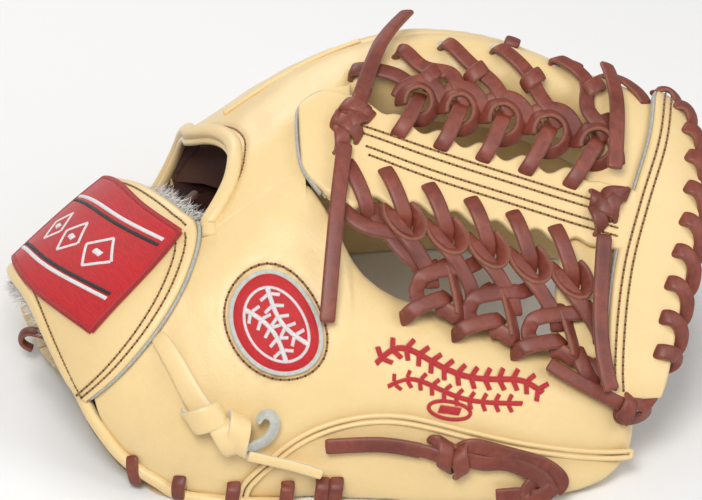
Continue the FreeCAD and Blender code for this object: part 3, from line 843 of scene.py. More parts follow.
def inner_lining():
    """Soft brown lining that shows through the finger opening and at the wrist."""
    us, low_us = np.linspace(0.9, 3.1, 50)[:, None], np.linspace(0.25, 3.1, 60)[:, None]
    vs = np.linspace(1.4, 7.5, 110)[None]
    roof = back.off(us, vs, -6.0 + 1.2 * np.sin(us * 9 + vs * 3) * np.sin(vs * 6))
    bed = front.off(low_us, vs, 6.6 + 1.4 * np.sin(low_us * 7 + vs * 2) * np.cos(vs * 5))
    mid_u, mid_v = cell_middles(us, vs + 0 * us)
    parts = [sheet("lining_roof", roof, lining, (mid_u > hole_edge(mid_v) + 0.06) | (mid_v < 2.8)),
             sheet("lining_bed", bed, lining)]
    share = np.linspace(0, 1, 24)[None, :, None]
    for v in (1.4, 7.5):
        top, under = (skin.off(us[:, 0], v, height + 0 * us[:, 0])[:, None]
                      for skin, height in ((back, -6.0), (front, 6.6)))
        parts.append(sheet("lining_wall", top * (1 - share) + under * share, lining))
    rim_vs = np.linspace(2.86, 7.2, 90)
    throat = [back.off(hole_edge(rim_vs) + push, rim_vs, depth + 0 * rim_vs)
              for push, depth in ((0.0, -1.2), (0.05, -3.6), (0.16, -8.0), (0.30, -14.0), (0.42, -22.0))]
    return joined("hand_lining", parts + [sheet("lining_throat", np.array(throat), lining)])


def hair_tufts(name, roots, long, wide, seed, spread=0.9, droop=0.35):
    """Wool pile: many short curved blades."""
    rng = np.random.RandomState(seed)
    verts, faces = [], []
    for place, normal in roots:
        way = unit(normal + rng.normal(scale=spread * 0.5, size=3))
        side = unit(np.cross(way, rng.normal(size=3)))
        size = long * rng.uniform(0.6, 1.25)
        bend = rng.normal(scale=droop, size=3)
        base = len(verts)
        for s in (0, 0.35, 0.7):
            mid = place + way * size * s + bend * size * s * s
            half = wide / 2 * (1 - s) ** 0.6
            verts += [mid - side * half, mid + side * half]
        verts.append(place + way * size + bend * size)
        faces += [(base, base + 1, base + 3, base + 2), (base + 2, base + 3, base + 5, base + 4),
                  (base + 4, base + 5, base + 6)]
    return make(name, np.array(verts), faces, fleece)


def fleece_pieces():
    """The pile inside the strap: a soft bed, with tufts at the wrist rim and at the opening."""
    rng = np.random.RandomState(11)
    vs = np.linspace(1.5, 7.4, 110)[None]
    start, end = rim_edge(vs) + 0.02, np.minimum(strap_u(vs) - 0.05, 1.75)
    us = start + (end - start) * np.linspace(0, 1, 40)[:, None]
    vs = vs + 0 * us
    lump = soft_noise(np.stack([us * 40, vs * 30, 0 * us], -1).reshape(-1, 3), 9, 3).reshape(us.shape)
    bed = sheet_solid("fleece_bed", back.off(us, vs, -3.4 + 0.9 * lump), back.normal(us, vs), 5.2, fleece,
                      edge=2.2)
    roots = []
    for _ in range(2600):
        v = rng.uniform(1.9, 6.5)
        u = rim_edge(v) + rng.uniform(0.0, 0.16)
        depth = -rng.uniform(1.0, 6.4)
        roots.append((back.off(u, v, depth), back.at(u - 0.1, v) - back.at(u + 0.1, v)))
    for _ in range(900):
        v = rng.uniform(3.05, 4.1)
        u = strap_u(v) + rng.uniform(-0.10, 0.06)
        roots.append((back.off(u, v, -rng.uniform(0.3, 5.5)), back.at(u + 0.1, v) - back.at(u - 0.1, v)))
    for _ in range(1500):
        v = rng.uniform(1.5, 4.8)
        place = back.off(rim_edge(v) - 0.07, v, -rng.uniform(1.2, 5.8))
        roots.append((place, back.at(0.0, v) - back.at(0.3, v)))
    roll = cord_on("fleece_roll", [(rim_edge(v) - 0.02, v, -3.4) for v in np.linspace(1.5, 4.8, 26)],
                   6.4, 5.2, fleece, count=14)
    tufts = hair_tufts("tufts", [(place, unit(way)) for place, way in roots], 4.2, 0.34, 12)
    return joined("fleece_lining_pile", [bed, roll, tufts])


def bindings():
    """Rolled binding along the heel, from the strap's wrist end to the thumb's first lace."""
    vs = [4.9, 4.2, 3.5, 2.87, 2.3, 1.8, 1.4, 1.1, 0.8, 0.5, 0.25, 0.08]
    route = [(rim_edge(v), v, 1.4 if v > 1.3 else 0.4) for v in vs]
    route += [(1.72, -0.03, 0.4), (2.05, -0.05, 0.3), (2.4, -0.055, 0.0), (2.8, -0.06, -0.8)]
    return cord_on("heel_binding", route, 5.4, 5.2, cream, count=18)


finger_rim, rim_far = finger_opening()
strap_near = strap_sheet("strap_near", 1.02, 5.6)
strap_far = strap_sheet("strap_far", 5.6, 7.75, rows=60)
lining_piece = inner_lining()
fleece_piece = fleece_pieces()
binding = bindings()
strap_rows = [edge_route(1.12, 2.86, 0.10, 3.75), edge_route(1.12, 2.86, 0.19, 3.85)]
strap_top = [edge_route(2.93, 5.5, 0.075, 3.6)]
strap_rim = [edge_route(1.1, 5.4, -0.10, 3.62, edge=rim_edge)]
strap_stitches = stitches("strap_stitches", strap_rows + strap_top + strap_rim)
opening_rows = [[(hole_edge(v) + 0.145, v, 0.55) for v in OPENING_ROWS[2:12]]]
heel_rows = [[(rim_edge(v) + 0.10, v, 0.25) for v in (1.05, 0.8, 0.55, 0.3, 0.14, 0.06)]
             + [(2.2, 0.02, 0.1), (2.6, 0.0, 0.1)]]
strap_cut = cord_on("strap_cut_edge", edge_route(1.1, 2.9, -0.012, 1.7), 1.2, 2.3, cream_edge, count=8)
for row in opening_rows + heel_rows:
    groove(row)


# ---- the web: spine, tab, bar, post ----

SPINE_PITCH = 0.375


def spine_low(u):
    """Lower edge of the spine, scalloped between its lace holes."""
    base = curve_value([(3.02, 3.1), (3.1, 2.84), (3.25, 2.67), (3.45, 2.60), (3.7, 2.66), (4.2, 2.75),
                        (4.8, 2.80), (5.4, 2.86), (6.2, 2.94)], u)
    wave = np.cos((u - 3.555) / 0.37 * 2 * np.pi)
    fade = np.clip((u - 3.3) / 0.2, 0, 1) * np.clip((5.75 - u) / 0.2, 0, 1)
    return base - 0.035 * wave * fade


def spine_high(u):
    base = curve_value([(3.02, 3.3), (3.1, 3.5), (3.25, 3.68), (3.5, 3.62), (3.8, 3.46), (4.1, 3.38),
                        (4.6, 3.34), (5.4, 3.33), (6.2, 3.36)], u)
    wave = np.cos((u - 3.985) / SPINE_PITCH * 2 * np.pi)
    fade = np.clip((u - 3.7) / 0.2, 0, 1) * np.clip((5.75 - u) / 0.2, 0, 1)
    return base + 0.04 * wave * fade


def strip(name, us, low, high, heights, edge=1.3, crown=0.3):
    """A leather strip along the glove between two rows that are functions of u."""
    us = us[:, None]
    return laid_sheet(name, us, low(us) + (high(us) - low(us)) * np.linspace(0, 1, 44)[None], heights, edge,
                      crown)


def cross_strip(name, vs, left, right, heights, edge=1.3, crown=0.3):
    """A leather strip across the glove between two stations that are functions of v."""
    vs = vs[:, None]
    return laid_sheet(name, left(vs) + (right(vs) - left(vs)) * np.linspace(0, 1, 30)[None], vs, heights,
                      edge, crown)


def tab_edge(v):
    return curve_value([(2.58, 3.4), (2.66, 3.28), (2.75, 3.22), (3.0, 3.13), (3.3, 3.12), (3.6, 3.2),
                        (3.8, 3.32)], v)


def bar_left(v):
    return curve_value([(1.5, 5.86), (1.65, 5.85), (2.31, 5.87), (2.79, 5.93), (3.3, 6.05), (3.72, 6.14),
                        (4.45, 6.16), (4.9, 6.2)], v)


def bar_right(v):
    return curve_value([(1.5, 6.42), (1.65, 6.46), (2.36, 6.6), (2.8, 6.68), (3.2, 6.78), (3.6, 6.8),
                        (4.0, 6.74), (4.29, 6.64), (4.6, 6.48), (4.9, 6.28)], v)


def web_pieces():
    us = np.linspace(3.09, 6.12, 230)
    spine = strip("web_spine_panel", us, spine_low, spine_high, (1.6, 5.0), crown=0.5)
    tab = cross_strip("web_tab", np.linspace(2.58, 3.8, 60), tab_edge,
                      lambda v: 3.55 + 0 * v, (0.4, 2.0), edge=0.8, crown=0.2)
    tab_cut = cord_on("tab_cut_edge", [(tab_edge(v) - 0.006, v, 1.2)
                                       for v in np.linspace(2.64, 3.7, 16)], 1.3, 2.0, cream_edge, count=8)
    bar = cross_strip("web_bar", np.linspace(1.56, 4.9, 130), bar_left, bar_right, (1.6, 5.0), crown=0.4)
    bar_under = cross_strip("web_bar_back", np.linspace(1.62, 4.85, 90), lambda v: bar_left(v) + 0.03,
                            lambda v: bar_right(v) - 0.03, (-1.8, 0.9), edge=1.2)
    bar_cut = cord_on("bar_cut_edge", [(bar_left(v) - 0.008, v, 3.3)
                                       for v in np.linspace(1.6, 4.86, 24)], 1.2, 2.9, cream_edge, count=8)
    backing = strip("web_backing_panel", np.linspace(3.5, 5.95, 90), lambda u: spine_low(u) + 0.16,
                    lambda u: spine_high(u) - 0.14, (-2.0, 0.6), edge=1.2)
    flap = cross_strip("web_end_flap", np.linspace(2.98, 4.5, 60), lambda v: 5.62 + 0 * v,
                       lambda v: 6.3 + 0 * v, (-0.6, 1.4), edge=1.0, crown=0.3)
    post = cross_strip("web_post_strap", np.linspace(2.05, 3.0, 50),
                       lambda v: 5.16 + 0.10 * v, lambda v: 5.66 + 0.10 * v, (-2.6, 0.6), crown=1.2)
    return spine, tab, tab_cut, bar, bar_under, bar_cut, backing, flap, post


(spine, tab, tab_cut, bar, bar_under, bar_cut, backing, flap, post) = web_pieces()
spine_lines = [[(3.62, 3.235, 5.7), (4.6, 3.195, 5.7), (5.95, 3.19, 5.7)],
               [(3.66, 3.165, 5.7), (4.6, 3.135, 5.7), (5.95, 3.135, 5.7)],
               [(3.68, 3.06, 5.7), (4.6, 3.045, 5.7), (5.95, 3.055, 5.7)],
               [(3.70, 2.995, 5.7), (4.6, 2.985, 5.7), (5.95, 3.0, 5.7)]]
spine_cut = cord_on("spine_cut_edge", [(3.30, 3.695, 2.7), (3.24, 3.68, 2.7), (3.12, 3.54, 2.7),
                                       (3.075, 3.36, 2.7), (3.07, 3.0, 2.7), (3.11, 2.81, 2.7),
                                       (3.25, 2.65, 2.7)], 1.5, 3.2, cream_edge, count=10)
spine_stitches = stitches("spine_stitches", spine_lines)
bar_lines = [[(bar_left(v) + inset, v, 5.55) for v in np.linspace(1.7, 4.8, 20)]
             for inset in (0.085, 0.16)]
bar_stitches = stitches("bar_stitches", bar_lines)


# ---- lacing ----

def lace_section(wide=LACE_WIDE, thick=LACE_THICK):
    w, t = wide / 2, thick / 2
    return np.array([(-w + 0.7, t), (0, t + 0.15), (w - 0.7, t), (w - 0.12, t - 0.45), (w, 0),
                     (w - 0.12, 0.45 - t), (w - 0.7, -t), (0, -t), (-w + 0.7, -t), (-w + 0.12, 0.45 - t),
                     (-w, 0), (-w + 0.12, t - 0.45)])


CUT_FACES = (3, 4, 9, 10)


def rolled(line, normals, degrees):
    """Normals turned about the line by an angle at each point."""
    ahead = unit(np.gradient(line, axis=0))
    side = unit(np.cross(ahead, normals))
    a = np.radians(degrees)[:, None]
    return np.cross(side, ahead) * np.cos(a) + side * np.sin(a)


def lace_on(route, wide=LACE_WIDE):
    """One lace run. route holds (u, v, height) or (u, v, height, roll in degrees)."""
    u, v, height, roll = track([(*place, 0)[:4] for place in route], np.linspace(0, 1, 260)).T
    line, normals, roll = spaced(0.9, back.off(u, v, height), back.normal(u, v), roll[:, None], least=5)
    return swept(line, rolled(line, normals, roll[:, 0]), lace_section(wide))


def lace_from(u, v, *steps):
    """A lace run by (station, row, height) steps from a hole."""
    return lace_on([(u + along, v + over, height) for along, over, height in steps])


def lace_through(points, normals, wide=LACE_WIDE, thick=LACE_THICK):
    """One lace run through 3-D points, with the way its flat side faces at each."""
    data = track(np.concatenate([points, normals], 1), np.linspace(0, 1, 200))
    return swept(*spaced(0.9, data[:, :3], data[:, 3:], least=5), lace_section(wide, thick))


def laces(name, runs, material=None):
    """One object of several lace runs; the cut sides are paler."""
    verts, faces = merge_lists(runs)
    obj = make(name, verts, faces, material or [lace, lace_edge])
    index = []
    for _, run_faces in runs:
        around = np.zeros((len(run_faces) // 12, 12), int)
        around[:, CUT_FACES] = 1
        index += [*around.ravel(), 1, 1]
    obj.data.polygons.foreach_set("material_index", np.array(index))
    edge = obj.modifiers.new("soft", "SUBSURF")
    edge.levels = edge.render_levels = 1
    applied(obj)
    obj.data.shade_smooth()
    return obj


def ring_run(centre, radii, turn0, turn1, height, swing, lean, roll, phase=0.0):
    """A lace turn lying round a point of the skin, low on one side and high on the other."""
    return lace_on([(centre[0] + radii[0] * math.cos(a) + lean * math.sin(a),
                     centre[1] + radii[1] * math.sin(a), height + swing * math.sin(a - math.radians(phase)),
                     roll) for a in np.linspace(math.radians(turn0), math.radians(turn1), 14)])


def local(u, v):
    """Origin and (along, over, normal) directions on the skin, in millimetres."""
    n = back.normal(u, v)
    along = back.at(u + 0.05, v) - back.at(u - 0.05, v)
    along = unit(along - n * (along @ n))
    return back.at(u, v), along, np.cross(n, along), n


def wrap_run(u, v, direction, radius, rise, centre_height, slant=0.0, turn0=-40, turn1=220, shift=(0, 0),
             wide=LACE_WIDE):
    """A lace band wrapped over a strand that runs in that direction (degrees from +u)."""
    origin, along, over, n = local(u, v)
    a = math.radians(direction)
    strand = along * math.cos(a) + over * math.sin(a)
    side = np.cross(n, strand)
    t = np.radians(np.linspace(turn0, turn1, 12))[:, None]
    points = (origin + along * shift[0] + over * shift[1] + side * radius * np.cos(t)
              + n * (centre_height + rise * np.sin(t)) + strand * slant * (t / math.pi - 0.5))
    return lace_through(points, unit(side * np.cos(t) / radius + n * np.sin(t) / rise), wide)


def slits(name, spots):
    """Pale cut leather that shows where a lace leaves its slit. spots are (u, v, direction)."""
    chunks = []
    for u, v, direction in spots:
        origin, along, over, n = local(u, v)
        a = math.radians(direction)
        chunks.append(capsule(origin + n * 0.1, along * math.cos(a) + over * math.sin(a), n, 6.4, 3.8, 1.0))
    return make(name, *merge_lists(chunks), suede)


UPPER = [(3.97 + 0.383 * i, 3.27) for i in range(5)]
LOWER = [(3.86 + 0.385 * i, 2.90) for i in range(5)]
INDEX_HOLES = [(4.0, 4.2), (4.43, 4.31), (4.90, 4.38), (5.36, 4.48)]
THUMB_HOLES = [(4.06, 1.93), (4.56, 1.89), (5.10, 1.89)]


def upper_lacing():
    """Spine to index finger: a turn over the spine, a wrapped ring and a strand up to the finger."""
    spine_turns, crossing, finger = [], [], []
    for u, v in UPPER:
        spine_turns.append(lace_from(u, v, (-0.015, -0.045, 2.5), (0, -0.01, 6.6), (0.07, 0.10, 8.0),
                                     (0.14, 0.23, 7.6), (0.19, 0.33, 5.4), (0.21, 0.40, 2.0)))
        crossing.append(ring_run((u + 0.185, v + 0.315), (0.155, 0.15), -118, 205, 4.2, 1.8, 0.03, 48,
                                 phase=20))
    for (u, v), (ring_u, ring_v) in zip(INDEX_HOLES, UPPER[1:]):
        finger.append(lace_on([(u - 0.05, v + 0.05, -2.5), (u - 0.02, v + 0.01, 1.6),
                               (u + 0.07, v - 0.09, 3.8), (u + 0.2, v - 0.24, 3.4),
                               (ring_u + 0.085, ring_v + 0.635, 4.4), (ring_u + 0.185, ring_v + 0.485, 5.6),
                               (ring_u + 0.275, ring_v + 0.365, 4.0)]))
        crossing.append(wrap_run(u + 0.27, v - 0.36, -48, 4.4, 3.2, 3.2, slant=2.0, turn0=-20, turn1=200))
    for (u, v), (next_u, next_v) in zip(UPPER, UPPER[1:]):
        crossing.append(lace_on([(u, v + 0.34, 2.0), (u + 0.12, v + 0.47, 5.0), (u + 0.27, v + 0.50, 5.8),
                                 (next_u + 0.01, next_v + 0.41, 4.6), (next_u + 0.11, next_v + 0.30, 2.4)]))
    finger.append(lace_on([(3.52, 4.05, -2), (3.56, 4.03, 1.2), (3.66, 3.98, 3.2), (3.8, 3.92, 3.4),
                           (3.98, 3.84, 3.0), (4.1, 3.74, 3.2)]))
    finger.append(lace_on([(5.70, 4.74, -2), (5.74, 4.69, 1.5), (5.88, 4.56, 3.0), (6.02, 4.40, 2.4),
                           (6.1, 4.28, 0.5)]))
    crossing.append(lace_on([(5.72, 3.86, 4.0), (5.80, 3.72, 4.6), (5.86, 3.60, 4.0), (5.90, 3.50, 2.0)]))
    return spine_turns, crossing, finger


def lower_lacing():
    """Spine to thumb: turns over the spine, wrapped rings, crossing strands and hitches at the thumb."""
    spine_turns, crossing, thumb = [], [], []
    for u, v in [(3.52, 2.86)] + LOWER:
        spine_turns.append(lace_from(u, v, (-0.03, 0.035, 2.5), (-0.01, 0, 6.4), (0.05, -0.10, 7.8),
                                     (0.11, -0.20, 7.0), (0.145, -0.27, 4.6), (0.15, -0.33, 1.5)))
    for u, v in LOWER:
        crossing.append(ring_run((u + 0.135, v - 0.27), (0.145, 0.125), -205, 60, 4.6, -1.6, -0.03, -48,
                                 phase=10))
        crossing.append(lace_from(u, v, (0.01, -0.23, 4.6), (0.03, -0.32, 6.2), (0.16, -0.41, 6.6),
                                  (0.28, -0.50, 5.6), (0.38, -0.60, 4.0), (0.42, -0.70, 1.5)))
    for u, v in THUMB_HOLES:
        thumb.append(lace_from(u, v, (-0.05, -0.02, -2.5), (-0.01, 0, 2.4), (0.08, 0.07, 4.8),
                               (0.2, 0.14, 5.2), (0.31, 0.20, 4.0), (0.37, 0.26, 1.2)))
        crossing.append(lace_from(u, v, (0.16, 0.10, 1.0), (0.08, 0.17, 1.8), (0.08, 0.27, 4.0),
                                  (0.2, 0.37, 5.6), (0.36, 0.44, 5.4), (0.52, 0.50, 3.6), (0.66, 0.60, 2.0)))
        crossing.append(lace_on([(u + 0.26, v + 0.10, 0.6, 20), (u + 0.38, v + 0.12, 2.4, 30),
                                 (u + 0.46, v + 0.23, 3.6, 45), (u + 0.42, v + 0.35, 4.0, 45),
                                 (u + 0.30, v + 0.44, 3.6, 30), (u + 0.2, v + 0.47, 2.0, 20)]))
    # the first strands beside the crotch
    crossing.append(lace_on([(3.42, 2.60, 3.0), (3.52, 2.52, 4.6), (3.7, 2.48, 5.4), (3.9, 2.50, 5.0),
                             (4.02, 2.52, 3.0)]))
    crossing.append(lace_on([(3.70, 2.66, 2.0), (3.82, 2.52, 4.0), (3.98, 2.40, 4.6), (4.12, 2.34, 3.4),
                             (4.24, 2.24, 1.0)]))
    return spine_turns, crossing, thumb


up_turns, up_cross, up_finger = upper_lacing()
low_turns, low_cross, low_thumb = lower_lacing()
web_laces = {name: laces(name, runs) for name, runs in (
    ("upper_spine_laces", up_turns), ("lower_spine_laces", low_turns), ("upper_web_laces", up_cross),
    ("lower_web_laces", low_cross), ("index_laces", up_finger), ("thumb_web_laces", low_thumb))}

whips = []
for v in (4.74, 4.42, 4.11, 3.81, 3.52, 3.25, 3.0, 2.75, 2.48, 2.18):
    edge = bar_right(v)
    flat = 0.45 if v < 2.3 else 1.0
    whips.append(lace_from(edge, v, (-0.20, 0.01, 2.0), (-0.185, 0, 6.0), (-0.10, -0.015, 7.4),
                           (-0.02, -0.07 * flat, 6.6), (0.035, -0.16 * flat, 3.6),
                           (0.03, -0.24 * flat, 0.4), (-0.04, -0.29 * flat, -2.6)))
bar_whip = laces("bar_whip_lace", whips)


def knot_runs(u, v, lean, big=1.0):
    """A pulled-down knot: bands over each other round the strand."""
    return [wrap_run(u, v, lean + turn, radius * big, rise * big, height, slant=slant, shift=shift)
            for turn, radius, rise, height, slant, shift in (
                (0, 4.9, 4.2, 6.0, 5, (1.6, 5.4)), (62, 5.2, 4.4, 6.4, 4, (1.4, 1.4)),
                (12, 5.4, 4.6, 6.0, -3, (-0.6, -1.4)), (-25, 5.0, 4.0, 5.6, -6, (-2.6, -5.2)),
                (-95, 3.2, 3.0, 5.8, 3, (-4.6, 0.8)))]


crotch_knot = laces("crotch_knot_bands", knot_runs(3.54, 3.2, 62)
                    + [lace_on([(3.49, 3.16, 5.0), (3.54, 3.27, 8.4), (3.60, 3.40, 9.0), (3.66, 3.55, 7.4),
                                (3.68, 3.66, 4.6)]),
                       wrap_run(3.585, 3.37, 62, 4.7, 4.4, 6.6, slant=3)])
bar_knot = laces("bar_knot_bands", knot_runs(5.82, 3.17, 84, 0.9))


def free_tail(name, route, node, ride=fixed, wide=LACE_WIDE, thick=LACE_THICK, material=None):
    """A knotted lace's free end: a flat ribbon along a smooth curve."""
    points = [back.off(u, v, h) for u, v, h in route]
    data = bpy.data.curves.new(name + "_line", "CURVE")
    data.dimensions = "3D"
    spline = data.splines.new("NURBS")
    spline.points.add(len(points) - 1)
    for p, place in zip(spline.points, points):
        p.co = (*(place / 1000), 1)
    spline.order_u = 3
    spline.use_endpoint_u = True
    spline.resolution_u = 14
    guide = bpy.data.objects.new(name + "_line", data)
    bpy.context.collection.objects.link(guide)
    graph = bpy.context.evaluated_depsgraph_get()
    mesh = bpy.data.meshes.new_from_object(guide.evaluated_get(graph))
    line = np.array([v.co[:] for v in mesh.vertices]) * 1000
    bpy.data.objects.remove(guide)
    bpy.data.meshes.remove(mesh)
    normals = columns_at(np.linspace(0, 1, len(line)), np.linspace(0, 1, len(route)),
                         np.array([back.normal(u, v) for u, v, _ in route]))
    obj = laces(name, [swept(line, normals, lace_section(wide, thick))], material)
    ride(obj, "tan_lace" if material else "brown_lace")
    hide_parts(node)
    return obj


TAILS = {
    "crotch_tail_up": [(3.62, 3.46, 8), (3.74, 3.9, 8.8), (3.87, 4.4, 7.4), (4.05, 4.98, 7)],
    "crotch_tail_down": [(3.48, 3.0, 9.4), (3.4, 2.66, 10.4), (3.3, 2.2, 8.5), (3.24, 1.8, 5.6)],
    "bar_tail_up": [(5.84, 3.42, 9.5), (5.83, 3.75, 9), (5.78, 4.2, 7.2), (5.7, 4.72, 5.8)],
    "bar_tail_down": [(5.8, 2.97, 9.6), (5.77, 2.5, 9.6), (5.79, 2.0, 9.4), (5.87, 1.66, 9)],
}
for node, route in TAILS.items():
    free_tail(node + "_lace", route, node)

holes = slits("index_slits", [(u - 0.035, v + 0.035, -48) for u, v in INDEX_HOLES[1:]])


# ---- embroidery ----

def satin(line, normals, width, lean=0.25, pitch=0.5, high=0.75, fat=0.62):
    """Threads laid side by side across a line, each leaning a little forward."""
    run = run_along(line)
    places = np.arange(pitch / 2, run[-1], pitch)
    centre, up = columns_at(places, run, line), unit(columns_at(places, run, normals))
    ahead = unit(np.gradient(centre, axis=0) if len(centre) > 1 else np.array([line[-1] - line[0]]))
    way = (np.cross(up, ahead) + ahead * lean) / math.hypot(1, lean)
    return [capsule(centre[k], way[k], up[k], width, fat, high) for k in range(len(centre))]


def drawn(surface, marks, closed=False):
    """A smooth line through (a, b) marks on a surface function."""
    return surface(*track(marks + marks[:1] * closed, np.linspace(0, 1, 160)).T)


def straight_line(surface, start, end, count=12):
    t = np.linspace(0, 1, count)[:, None]
    return surface(*(np.array(start) * (1 - t) + np.array(end) * t).T)


def ellipse(a, b, turns, a0=0.0, b0=0.0):
    return np.stack([a0 + a * np.cos(turns), b0 + b * np.sin(turns)], -1)


def seam_motif(surface, marks, forward, width, pitch, out, spine_width):
    """A ball's seam: a curved satin line with paired stitches that slant forward, all in mm."""
    line, normals = drawn(surface, marks)
    chunks = satin(line, normals, spine_width)
    run = run_along(line)
    t = np.linspace(0, 1, 5)[:, None]
    for s in np.arange(pitch * 0.6, run[-1] - pitch * 0.3, pitch):
        centre, ahead = columns_at([s, s + 0.6], run, line)
        up, ahead = unit(columns_at([s], run, normals)[0]), unit(ahead - centre)
        side = np.cross(up, ahead)
        for way in (1, -1):
            start, end = centre + side * way * 0.8 + up * 0.12, centre + side * way * out + ahead * forward
            chunks += satin(start * (1 - t) + end * t, np.repeat(up[None], 5, 0), width, lean=0.1)
    return chunks


def threads(name, chunks, material):
    return make(name, *merge_lists(chunks), material)


def thumb_surface(u, v):
    return back.off(u, v, 0.35 + 0 * u), back.normal(u, v)


def thumb_embroidery():
    """Red ball-seam flourish with a small ring below it."""
    upper = [(3.74, 1.44), (3.98, 1.62), (4.28, 1.54), (4.60, 1.45), (4.90, 1.50), (5.14, 1.56), (5.30, 1.46)]
    lower = [(3.86, 1.20), (4.08, 1.30), (4.30, 1.26), (4.60, 1.17), (4.90, 1.19), (5.12, 1.24)]
    ring = ellipse(0.20, 0.10, np.linspace(0, 2 * np.pi, 13)[:-1], 4.46, 1.01).tolist()
    chunks = seam_motif(thumb_surface, upper, 1.8, 2.2, 5.6, 4.6, 2.6)
    chunks += seam_motif(thumb_surface, lower, 1.4, 1.9, 5.2, 3.6, 2.2)
    chunks += satin(*drawn(thumb_surface, ring, closed=True), 1.7)
    chunks += satin(*straight_line(thumb_surface, (4.36, 1.01), (4.56, 1.01)), 3.6)
    return threads("thumb_embroidery", chunks, red_thread)


OVAL = (2.783, 1.81)
OVAL_LONG, OVAL_WIDE = (0.30, -0.38), (0.305, 0.195)
OVAL_TURNS = np.linspace(0, 2 * np.pi, 97)


def oval_surface(lift):
    def place(a, b):
        u = OVAL[0] + OVAL_LONG[0] * a + OVAL_WIDE[0] * b
        v = OVAL[1] + OVAL_LONG[1] * a + OVAL_WIDE[1] * b
        return back.off(u, v, lift + 0 * u), back.normal(u, v)
    return place


def oval_line(size, lift=0.0, turns=OVAL_TURNS):
    """Points and normals of an oval round the badge."""
    return oval_surface(lift)(*ellipse(size, size, turns).T)


def oval_badge():
    """Red embroidered badge with its cut edge, stitched ring and white ball-seam mark."""
    turns = OVAL_TURNS[:-1]
    fill = np.linspace(0, 1, 26)
    rings = [oval_line(0.93 * r, 0.35 + 1.15 * math.sqrt(1 - (r * 0.985) ** 4), turns)[0] for r in fill]
    red = make("oval_fill", np.concatenate(rings), grid(26, 96, around=True), woven_red)
    cloth_marks(red, np.concatenate([ellipse(r * 25, r * 19, turns) for r in fill]))
    section = round_section(2.0, 1.5, 10, 2.6)
    rim = make("oval_cut_edge", *swept(*oval_line(0.955, 0.5, turns), section, closed=True), suede)
    arcs = []
    for way in (1, -1):
        marks = [(-0.60, 0.34 * way), (-0.3, 0.20 * way), (0, 0.14 * way), (0.3, 0.20 * way),
                 (0.60, 0.34 * way)]
        arcs += seam_motif(oval_surface(1.55), marks, 1.3, 1.6, 5.0, 3.8, 2.2)
    ring = ellipse(0.70, 0.66, np.linspace(0, 2 * np.pi, 17)[:-1]).tolist()
    arcs += satin(*drawn(oval_surface(1.25), ring, closed=True), 1.7)
    line, normals = oval_line(1.10)
    return [red, rim, threads("oval_mark", arcs, white_thread)], stitch_ring("oval_stitches", line, normals)


def stitch_ring(name, line, normals):
    return thread_row(name, [spaced(STITCH_PITCH, line, normals)])


def cloth_marks(obj, marks):
    """Stores cloth coordinates in mm on the points, for the weave."""
    values = np.pad(marks, ((0, 0), (0, 1)))
    obj.data.attributes.new("cloth", "FLOAT_VECTOR", "POINT").data.foreach_set("vector", values.ravel())


def woven(name, base, dark):
    """Filled embroidery: rows of short parallel threads, each row shifted."""
    g = Graph(name)
    pattern = {"Scale": 1.0, "Mortar Size": 0.10, "Mortar Smooth": 0.6, "Brick Width": 2.6,
               "Row Height": 0.55, "Bias": 0.0, "Color1": (*base, 1),
               "Color2": (*[0.8 * c for c in base], 1), "Mortar": (*dark, 1)}
    rows = g.node("ShaderNodeTexBrick", {"Vector": attribute(g, "cloth", "Vector")}, **pattern)
    g.link(rows.outputs["Color"], "Base Color")
    g.link(g.bump(rows.outputs["Fac"], -0.5, 0.0004), "Normal")
    g.set(Roughness=0.6, Sheen_Weight=0.15, Specular_IOR_Level=0.3)
    return g.mat


woven_red = woven("woven_red", (0.60, 0.018, 0.022), (0.24, 0.006, 0.009))
red_border = plain_fibre("red_border", (0.46, 0.014, 0.018), 1500, 0.55, 0.2, 0.4, (0.26, 0.006, 0.009))


def patch_surface(lift):
    wrist = [(0.08, 5.35), (0.20, 3.75), (0.50, 2.75), (1.10, 2.0)]
    finger = [(1.16, 5.55), (1.42, 4.4), (1.64, 3.60), (2.0, 2.86)]

    def place(a, b):
        share = b.ravel()[:, None]
        u, v = (track(wrist, a.ravel()) * (1 - share) + track(finger, a.ravel()) * share).T
        return back.off(u, v, lift + 0 * u).reshape(*a.shape, 3), back.normal(u, v).reshape(*a.shape, 3)
    return place


def strap_label():
    """Woven label on the strap with a satin border, two double stripes and a row of diamonds."""
    a, b = np.meshgrid(np.linspace(0, 1, 90), np.linspace(0, 1, 60), indexing="ij")
    points, normals = patch_surface(4.4)(a, b)
    base = sheet_solid("strap_label", points, normals, 1.3, woven_red, edge=0.6)
    along = unit(points[-1, 0] - points[0, 0])
    over = unit(np.cross(normals.mean((0, 1)), along))
    cloth_marks(base, (read_points(base) * 1000 - points[0, 0]) @ np.stack([along, over], 1))
    top = patch_surface(5.15)
    border, white, black = [], [], []
    corners = [(0, 0), (1, 0), (1, 1), (0, 1)]
    for start, end in zip(corners, corners[1:] + corners[:1]):
        border += satin(*straight_line(top, start, end, 40), 2.4, lean=0.0)
    for far_b, near_b, order in ((0.74, 0.87, 1), (0.14, 0.33, -1)):
        for shift, store in ((0.024 * order, white), (-0.024 * order, black)):
            store += satin(*straight_line(top, (0.035, far_b + shift), (0.955, near_b + shift), 60), 1.9,
                           lean=0.15)
    for k in range(3):
        centre = np.array([0.27 + 0.24 * k, 0.49 + 0.04 * k])
        corners = [centre + d for d in ((0.095, 0.0), (0.0, 0.15), (-0.095, 0.0), (0.0, -0.15))]
        for start, end in zip(corners, corners[1:] + corners[:1]):
            white += satin(*straight_line(top, start, end), 1.6)
        white += satin(*straight_line(top, centre - (0.025, 0), centre + (0.025, 0)), 3.0)
    return [base, threads("label_border", border, red_border), threads("label_white", white, white_thread),
            threads("label_black", black, black_thread)]


# ---- thumb tie, knots and loose laces of the thumb side ----

